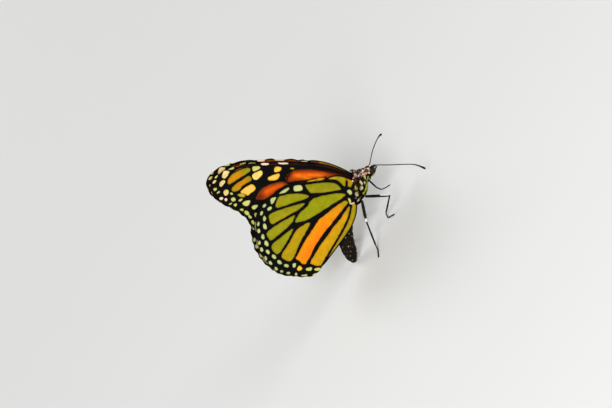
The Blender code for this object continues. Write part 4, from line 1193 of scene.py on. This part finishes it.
def unwrap(points):
    """Where points of the body lie on its own unrolled shape, between 0 and 1."""
    line = body_line()
    run = travelled(line)
    nearest = np.linalg.norm(points[:, None, (0, 2)] - line[None], axis=2).argmin(axis=1)
    slope = unit(np.gradient(line, axis=0))[nearest]
    offset = points[:, (0, 2)] - line[nearest]
    up = slope[:, 0] * offset[:, 1] - slope[:, 1] * offset[:, 0]
    turn = np.arctan2(points[:, 1], up) / (2 * math.pi) + 0.5
    along = np.clip((run[nearest] + (slope * offset).sum(axis=1)) / run[-1], 0, 1)
    return np.stack((turn, along), axis=1) * (1 - 2 * MAP_EDGE) + MAP_EDGE


def lay_marks(points, coat, colours):
    """Lay the pale marks of thorax and head, with ragged edges, over the coat's colours."""
    sided = np.stack((points[:, 0], np.abs(points[:, 1]), points[:, 2]), axis=1)
    sided += 0.12 * np.stack([mottle(points, 1.1, SEED + i) for i in range(3)], axis=1)
    broken = np.clip(1.3 + 1.4 * mottle(points, 0.6, SEED + 4), 0.2, 1)
    for key, reach, start, end in BODY_MARKS:
        share = rise(reach - distance(sided, np.array((start, end))), -0.05, 0.1)
        colours = blended(colours, getattr(coat, key), share * broken)
    return colours


def flecks(points):
    """Small pale flecks along the lower flanks and round the tip of the abdomen."""
    turn, along = unwrap(points).T
    low = rise(np.abs(turn - 0.5), FLANK_TURN, 0.08)
    tip = rise(-along, -TIP_SHARE, 0.06)
    level = mottle(points, 1.0, 7) + 0.5 * mottle(points, 0.5, 8) + 0.35 * low + 1.3 * tip * low
    return np.where(along < abdomen_share(), rise(level, FLECK_LEVEL, 0.15), 0.0)


def abdomen_share():
    """How much of the body's line belongs to the abdomen."""
    line = body_line()
    run = travelled(line)
    return run[np.linalg.norm(line - ABDOMEN[0][:2], axis=1).argmin()] / run[-1]


def coat_colours(points, coat):
    """The same markings for the skin and the fur, with painted sunlight in reddish brown on the top of head
    and back.
    """
    # The warm share is painted sunlight, laid by height on the top of head and back
    ahead, _, height = points.T
    warm = np.max([rise(ahead, *first) * rise(height, *second) for first, second in SUNLIT_FUR],
                  axis=0)
    warm *= np.clip(mottle(points, 1.3, 4) * 1.6 + 0.75, 0, 1)
    colours = blended(np.array(coat.dark), coat.brown, warm)
    return lay_marks(points, coat, blended(colours, coat.fleck, flecks(points)))


def make_skin(coat):
    """Balls along the body and a tapering abdomen, fused into one skin."""
    pieces = [ball(f"ball_{i}", centre, radii) for i, (centre, radii) in enumerate(BODY_BALLS)]
    line = smooth(ABDOMEN, BODY_STEPS)
    pieces.append(tube("abdomen_line", [(x, 0.0, z) for x, z, _ in line], line[:, 2], 6))
    x, z, radius = ABDOMEN[-1]
    pieces.append(ball("abdomen_end", (x, 0.0, z), (radius,) * 3))
    skin = join(pieces, "skin")
    modify(skin, "REMESH", mode="VOXEL", voxel_size=coat.voxel)
    modify(skin, "SMOOTH", factor=0.6, iterations=10)
    return skin


def groove_segments(skin):
    """Step each segment of the abdomen in under the one before it."""
    points = measured(skin.data)
    along = unwrap(points)[:, 1]
    share = abdomen_share()
    phase = along * ABDOMEN_SEGMENTS / share % 1.0
    step = bell(np.minimum(phase, 1 - phase), SEGMENT_EDGE)
    inset = SEGMENT_STEP * np.where(along < share, step, 0)
    normals = np.empty(len(points) * 3)
    skin.data.vertices.foreach_get("normal", normals)
    moved = placed(points - normals.reshape(-1, 3) * inset[:, None])
    skin.data.vertices.foreach_set("co", moved.ravel())
    skin.data.update()


# Fur, spines and fringes


def scatter(mesh, count, random, keep_where):
    """Random places on a mesh with the surface's direction there."""
    mesh.calc_loop_triangles()
    corners = measured(mesh)
    rows = np.empty(len(mesh.loop_triangles) * 3, int)
    mesh.loop_triangles.foreach_get("vertices", rows)
    rows = rows.reshape(-1, 3)
    a, b, c = corners[rows[:, 0]], corners[rows[:, 1]], corners[rows[:, 2]]
    cross = np.cross(b - a, c - a)
    area = np.linalg.norm(cross, axis=1)
    normals = cross / np.maximum(area, 1e-12)[:, None]
    weight = area * keep_where((a + b + c) / 3)
    chosen = random.choice(len(rows), count, p=weight / weight.sum())
    u, v = random.random(count), random.random(count)
    over = u + v > 1
    u[over], v[over] = 1 - u[over], 1 - v[over]
    points = a[chosen] + u[:, None] * (b - a)[chosen] + v[:, None] * (c - a)[chosen]
    return points, normals[chosen]


def blades(name, roots, directions, curls, lengths, widths):
    """Tapered three-sided tufts, each rooted at its place and bent by its curl."""
    count = len(roots)
    side = unit(np.cross(directions, curls + 1e-6))
    other = np.cross(directions, side)
    turns = np.arange(TUFT_SIDES) * 2 * math.pi / TUFT_SIDES
    corners = np.empty((count, 2 * TUFT_SIDES + 1, 3))
    middle = roots + directions * (lengths * 0.5)[:, None]
    tip = roots + (directions + curls * 0.5) * lengths[:, None]
    for i, turn in enumerate(turns):
        spoke = (side * math.cos(turn) + other * math.sin(turn)) * widths[:, None]
        corners[:, i] = roots + spoke
        corners[:, TUFT_SIDES + i] = middle + spoke * 0.8 + curls * (lengths * 0.1)[:, None]
    corners[:, -1] = tip
    faces = [(2, 1, 0)]
    for i in range(TUFT_SIDES):
        j = (i + 1) % TUFT_SIDES
        over_i, over_j = TUFT_SIDES + i, TUFT_SIDES + j
        faces += [(i, j, over_j), (i, over_j, over_i), (over_i, over_j, 2 * TUFT_SIDES)]
    faces = np.array(faces)
    rows = (np.arange(count) * corners.shape[1])[:, None, None] + faces[None]
    mesh = bpy.data.meshes.new(name)
    mesh.from_pydata(placed(corners.reshape(-1, 3)).tolist(), [], rows.reshape(-1, 3).tolist())
    return mesh, faces


def bake_map(mesh, faces, spots):
    """A map where each tuft is a small patch at its root's place on the skin's unwrap."""
    count = len(spots)
    local = np.zeros((2 * TUFT_SIDES + 1, 2))
    for i in range(TUFT_SIDES):
        local[i] = (i / TUFT_SIDES, 0.0)
        local[TUFT_SIDES + i] = (i / TUFT_SIDES, 0.5)
    local[-1] = (0.5, 1.0)
    values = spots[:, None, None] + (local[faces] - 0.5)[None] * BAKE_PATCH
    layer = mesh.uv_layers.new(name="OFBake")
    layer.uv.foreach_set("vector", values.reshape(count * len(faces) * 3, 2).ravel())


def grow(name, mesh, count, keep_where, lengths, width, lift, coat, seed):
    """Cover part of a mesh with tufts that lie back along the body."""
    random = np.random.default_rng(seed)
    roots, normals = scatter(mesh, count, random, keep_where)
    back = np.array(FUR_BACK) + random.normal(0, FUR_STRAY, (count, 3))
    lie = unit(back - normals * (back * normals).sum(axis=1)[:, None])
    raised = lift * random.uniform(0.6, 1.4, count)[:, None]
    directions = unit(lie + normals * raised)
    curls = lie * 0.5 - normals * 0.35 + random.normal(0, 0.12, (count, 3))
    long = lengths(roots) * random.uniform(0.6, 1.25, count)
    wide = width * random.uniform(0.7, 1.3, count)
    tufts, faces = blades(name, roots - normals * FUR_ROOT, directions, curls, long, wide)
    seen = roots + directions * (long * 0.55)[:, None] + random.normal(0, 0.05, (count, 3))
    colours = coat_colours(seen, coat) * random.uniform(0.85, 1.15, (count, 1))
    keep(tufts, "coat", np.repeat(np.clip(colours, 0, 1), 2 * TUFT_SIDES + 1, axis=0))
    bake_map(tufts, faces, unwrap(roots))
    made = new_object(name, tufts)
    tufts.shade_smooth()
    return made


def fur_length(coat):
    """Long on the thorax, short on the head and shorter still on the abdomen."""
    def lengths(points):
        head = rise(points[:, 0], 4.6, 1.2)
        rear = rise(-points[:, 0], 3.6, 2.6)
        long = coat.length / MM * (1 - rear * 0.62)
        return long + (coat.short / MM - long) * head
    return lengths


def band(low, high):
    """A weight for scatter: one between two distances ahead and nothing elsewhere."""
    def weight(points):
        return ((points[:, 0] > low) & (points[:, 0] < high)).astype(float)
    return weight


def make_furred(made, node, name, count, length, width, lift, fur, coat, seed):
    """Colour a small piece, cover it with its own fur and finish both."""
    keep(made.data, "coat", coat_colours(measured(made.data), coat))
    tufts = grow(name, made.data, count, steady(1.0), steady(length), width, lift, coat, seed)
    finish(made, fur, "body_fur", node)
    finish(tufts, fur, "body_fur")


# Feelers and legs


def make_feeler(side, route, limbs, material):
    """A ringed shaft that ends in a club."""
    line = even(smooth(route, 8), FEELER_STEP)
    shape = [(share, size * limbs.feeler / MM) for share, size in FEELER_SHAFT]
    shape += [(share, size * limbs.club / MM) for share, size in FEELER_CLUB]
    radii = np.interp(np.linspace(0, 1, len(line)), *zip(*shape))
    radii *= 1 + RING_SWELL * np.cos(np.arange(len(line)) * 2 * math.pi / RING_POINTS)
    made = tube(f"antenna_{side}", line, radii)
    keep(made.data, "pale", np.zeros(len(made.data.vertices)))
    finish(made, material, "antenna", f"antenna_{side}")


def leg_line(stops, halves):
    """The leg's line from hip to toe with its half thickness at each point."""
    hip, knee, heel, ball_of_foot, toe = [np.array(stop) for stop in stops]
    femur, tibia, tarsus = halves
    rows = []
    for start, end, half, shape in ((hip, knee, femur, FEMUR_SHAPE),
                                    (knee, heel, tibia, TIBIA_SHAPE)):
        for t in np.linspace(0, 1, LEG_POINTS)[:-1]:
            rows.append((*(start + (end - start) * t), half * np.interp(t, *shape)))
    middle = ball_of_foot + (toe - ball_of_foot) * 0.5
    foot = even(smooth([heel, ball_of_foot, middle, toe], 4), FOOT_STEP)
    foot[:, 2] = np.maximum(foot[:, 2], tarsus)
    for i, point in enumerate(foot):
        rows.append((*point, tarsus * (1 - 0.25 * (i % 4 == 0))))
    return np.array(rows)


def spines(name, stops, tibia, random):
    """Pairs of short spines along the shin and the foot, and two claws at the toe."""
    _, knee, heel, ball_of_foot, toe = [np.array(stop) for stop in stops]
    rows = []
    parts = ((knee, heel), (heel, ball_of_foot), (ball_of_foot, toe))
    for (start, end), (count, size) in zip(parts, SPINE_ROWS):
        along = unit(end - start)
        aside = unit(np.cross(along, (0, 0, 1.0)))
        for t in np.linspace(0.12, 0.97, count):
            for turn in (-1, 1):
                root = start + (end - start) * t + aside * turn * tibia * 0.6
                lean = along * 0.8 + aside * turn * 0.75 + random.normal(0, 0.12, 3)
                rows.append((root, lean, size * random.uniform(0.8, 1.2), SPINE_WIDTH))
    along = unit(toe - ball_of_foot)
    aside = np.cross(along, (0, 0, 1.0))
    for turn in (-1, 1):
        rows.append((toe - along * 0.1, along + aside * turn * 0.55, CLAW_LENGTH, CLAW_WIDTH))
    roots, leans, lengths, widths = (np.array(column) for column in zip(*rows))
    directions = unit(leans)
    directions[:, 2] = np.maximum(directions[:, 2], -0.1)
    curls = np.tile((0.0, 0.0, -0.12), (len(roots), 1))
    mesh, _ = blades(name, roots, directions, curls, lengths, widths)
    points = measured(mesh)
    points[:, 2] = np.maximum(points[:, 2], 0.0)
    mesh.vertices.foreach_set("co", placed(points).ravel())
    keep(mesh, "pale", np.zeros(len(points)))
    return new_object(name, mesh)


def leg_marks(points, name, stops):
    """How white a leg is at each point."""
    side = np.array(LEG_MARK_SIDE) * (1, 1 if name.endswith("left") else -1, 1)
    best = np.zeros(len(points))
    for part, start, end, offset, reach in LEG_MARKS[name.split("_")[0]]:
        near, far = np.array(stops[part]), np.array(stops[part + 1])
        line = np.array([near + (far - near) * share + side * offset for share in (start, end)])
        best = np.maximum(best, np.clip(1.5 - distance(points, line) / reach, 0, 1))
    return best


def make_leg(name, stops, material, random):
    """One leg with its spines, from hip to claws."""
    halves = LEG_HALVES[name.split("_")[0]]
    rows = leg_line(stops, halves)
    made = tube(name, rows[:, :3], rows[:, 3])
    keep(made.data, "pale", leg_marks(measured(made.data), name, stops))
    made = join([made, spines(f"{name}_spines", stops, halves[1], random)], name)
    nodes = [f"{name}_{part}" for part in ("femur", "tibia", "tarsus")]
    return finish(made, material, "leg", *nodes)


# Operators


class MONARCH_OT_forewings(Operator):
    """Make both forewings with their veins, cells and spots"""
    bl_idname = "monarch.forewings"
    bl_label = "Forewings"

    def execute(self, context):
        pattern = {
            "veins": FOREWING_VEINS, "cells": FOREWING_CELLS, "streaks": FOREWING_STREAKS,
            "glows": FOREWING_GLOWS, "marks": FOREWING_MARKS, "spots": FOREWING_SPOTS,
            # The spots' lime colour is painted shade with green reflected light on white spots
            "spot_colour": "lime_reflection", "upper": UPPER_STREAKS, "fringe": FOREWING_FRINGE,
        }
        make_pair("forewing", FOREWING, pattern, forewing_aside, context.scene.monarch.wing,
                  FAR_WING_SHIFT)
        return {"FINISHED"}


class MONARCH_OT_hindwings(Operator):
    """Make both hindwings with their veins, cells and spots"""
    bl_idname = "monarch.hindwings"
    bl_label = "Hindwings"

    def execute(self, context):
        pattern = {
            "veins": HINDWING_VEINS, "cells": HINDWING_CELLS, "streaks": (),
            "glows": HINDWING_GLOWS, "marks": HINDWING_MARKS, "spots": HINDWING_SPOTS,
            # The spots' mint colour is painted shade with green reflected light on white spots
            "spot_colour": "mint_reflection", "upper": (), "fringe": HINDWING_FRINGE,
        }
        make_pair("hindwing", HINDWING, pattern, hindwing_aside, context.scene.monarch.wing)
        return {"FINISHED"}


class MONARCH_OT_body(Operator):
    """Make one skin over head, collar, thorax and abdomen"""
    bl_idname = "monarch.body"
    bl_label = "Body skin"

    def execute(self, context):
        coat = context.scene.monarch.coat
        skin = make_skin(coat)
        groove_segments(skin)
        keep(skin.data, "coat", coat_colours(measured(skin.data), coat))
        skin.data.shade_smooth()
        finish(skin, coat_material("skin", 0.6), "body_fur", "head", "collar", "thorax",
               "abdomen_base", "abdomen_middle", "abdomen_rear", "abdomen_tip")
        return {"FINISHED"}


class MONARCH_OT_coat(Operator):
    """Cover the skin with tufts of fur"""
    bl_idname = "monarch.coat"
    bl_label = "Coat"

    def execute(self, context):
        coat = context.scene.monarch.coat
        mesh = bpy.data.objects["skin"].data
        fur = coat_material("fur")
        for name, count, low, high, width, lift in (
            ("coat_thorax", coat.thorax, -4.8, 5.2, 0.055, 0.42),
            ("coat_abdomen", coat.abdomen, -21.5, -4.8, 0.045, 0.16),
            ("coat_head", coat.head, 5.2, 9.5, 0.04, 0.4),
        ):
            made = grow(name, mesh, count, band(low, high), fur_length(coat), width, lift, coat,
                        SEED + count)
            finish(made, fur, "body_fur")
        return {"FINISHED"}


class MONARCH_OT_eyes(Operator):
    """Make the two faceted eyes"""
    bl_idname = "monarch.eyes"
    bl_label = "Eyes"

    def execute(self, context):
        material = eye_material("eye_facets", context.scene.monarch.limb.eye)
        x, y, z = EYE_PLACE
        for side, sign in SIDES:
            made = ball(f"facets_{side}", (x, sign * y, z), EYE_RADII, 64, 48)
            made.data.shade_smooth()
            finish(made, material, "eye", f"eye_{side}")
        return {"FINISHED"}


class MONARCH_OT_palps(Operator):
    """Make the two furry palps below the face"""
    bl_idname = "monarch.palps"
    bl_label = "Palps"

    def execute(self, context):
        coat = context.scene.monarch.coat
        fur = coat_material("palp_fur")
        for side, sign in SIDES:
            route = smooth([(x, sign * y, z) for x, y, z in PALP], BODY_STEPS)
            radii = np.interp(np.linspace(0, 1, len(route)), np.linspace(0, 1, len(PALP_RADII)),
                              PALP_RADII)
            made = tube(f"palp_skin_{side}", route, radii)
            make_furred(made, f"palp_{side}", f"palp_fur_{side}", 700, 0.45, 0.035, 0.7, fur, coat,
                        SEED + sign)
        return {"FINISHED"}


class MONARCH_OT_feelers(Operator):
    """Make the two clubbed feelers"""
    bl_idname = "monarch.feelers"
    bl_label = "Feelers"

    def execute(self, context):
        limbs = context.scene.monarch.limb
        material = horn_material("feeler_shell", limbs.horn, limbs.patch, 0.45)
        make_feeler("right", ANTENNA_RIGHT, limbs, material)
        make_feeler("left", ANTENNA_LEFT, limbs, material)
        return {"FINISHED"}


class MONARCH_OT_legs(Operator):
    """Make the six legs with spines, claws and white patches"""
    bl_idname = "monarch.legs"
    bl_label = "Legs"

    def execute(self, context):
        limbs = context.scene.monarch.limb
        material = horn_material("leg_shell", limbs.horn, limbs.patch)
        random = np.random.default_rng(SEED)
        for name, stops in LEGS.items():
            make_leg(name, stops, material, random)
        return {"FINISHED"}


class MONARCH_OT_shoulders(Operator):
    """Make the furry lobes over the roots of the wings"""
    bl_idname = "monarch.shoulders"
    bl_label = "Shoulders"

    def execute(self, context):
        coat = context.scene.monarch.coat
        fur = coat_material("shoulder_fur")
        x, y, z = TEGULA_PLACE
        for side, sign in SIDES:
            made = ball(f"shoulder_{side}", (x, sign * y, z), TEGULA_RADII)
            make_furred(made, f"tegula_{side}", f"shoulder_fur_{side}", 900, 0.7, 0.05, 0.5, fur,
                        coat, SEED + 5 * sign)
        return {"FINISHED"}


class MONARCH_OT_stage(Operator):
    """Set the floor, the lights and the camera"""
    bl_idname = "monarch.stage"
    bl_label = "Stage"

    def execute(self, context):
        stage = context.scene.monarch.stage
        bpy.ops.object.select_all(action="DESELECT")
        bpy.ops.mesh.primitive_plane_add(size=FLOOR_SIZE)
        floor = bpy.context.object
        floor.name = "floor"
        graph = Nodes("floor_paint", 0.85, Specular_IOR_Level=0.2)
        graph.base(graph.mix(graph.ramp(graph.noise(30.0), 0.3, 0.7, 0.0, 0.03), stage.floor,
                             (0.6, 0.6, 0.58)))
        floor.data.materials.append(graph.material)
        middle = placed([LOOK_AT])[0]
        for name, offset, size, share in LIGHTS:
            bpy.ops.object.light_add(type="AREA", location=Vector(middle) + Vector(offset))
            light = bpy.context.object
            light.name = name
            light.data.size = size
            light.data.energy = stage.key * share
            light.rotation_euler = (-Vector(offset)).to_track_quat("-Z", "Y").to_euler()
        world = bpy.context.scene.world or bpy.data.worlds.new("world")
        bpy.context.scene.world = world
        world.use_nodes = True
        sky = world.node_tree.nodes["Background"]
        sky.inputs["Color"].default_value = (0.95, 0.97, 1.0, 1.0)
        sky.inputs["Strength"].default_value = 0.4
        context.scene.view_settings.view_transform = "Standard"
        self.add_camera(stage, Vector(middle))
        return {"FINISHED"}

    def add_camera(self, stage, middle):
        """Look down at the butterfly from its right side, rolled as the photo is."""
        up, roll = stage.elevation, stage.roll
        towards = Vector((0, -math.cos(up), math.sin(up)))
        level = Vector((1, 0, 0))
        rising = Vector((0, math.sin(up), math.cos(up)))
        right = level * math.cos(roll) - rising * math.sin(roll)
        above = level * math.sin(roll) + rising * math.cos(roll)
        bpy.ops.object.camera_add()
        camera = bpy.context.object
        camera.data.lens = LENS
        camera.data.clip_end = 50
        turned = Matrix((right, above, towards)).transposed().to_4x4()
        turned.translation = middle + towards * stage.distance
        camera.matrix_world = turned
        bpy.context.scene.camera = camera


class MONARCH_PT_panel(Panel):
    """Lists the butterfly's pieces in the 3D view's sidebar"""
    bl_idname = "MONARCH_PT_panel"
    bl_label = "Monarch Butterfly"
    bl_space_type = "VIEW_3D"
    bl_region_type = "UI"
    bl_category = "Monarch"

    def draw(self, context):
        for step in STEPS:
            self.layout.operator(step.bl_idname)
        for group in (context.scene.monarch.wing, context.scene.monarch.coat,
                      context.scene.monarch.limb, context.scene.monarch.stage):
            for key in group.__annotations__:
                self.layout.prop(group, key)


STEPS = (
    MONARCH_OT_forewings, MONARCH_OT_hindwings, MONARCH_OT_body, MONARCH_OT_coat,
    MONARCH_OT_eyes, MONARCH_OT_palps, MONARCH_OT_feelers,
    MONARCH_OT_legs, MONARCH_OT_shoulders, MONARCH_OT_stage,
)
CLASSES = (WingSettings, CoatSettings, LimbSettings, StageSettings, MonarchSettings,
           *STEPS, MONARCH_PT_panel)


def register():
    for item in CLASSES:
        bpy.utils.register_class(item)
    bpy.types.Scene.monarch = PointerProperty(type=MonarchSettings)


def unregister():
    del bpy.types.Scene.monarch
    for item in reversed(CLASSES):
        bpy.utils.unregister_class(item)


def main():
    register()
    for step in STEPS:
        group, name = step.bl_idname.split(".")
        getattr(getattr(bpy.ops, group), name)()


if __name__ == "__main__":
    main()
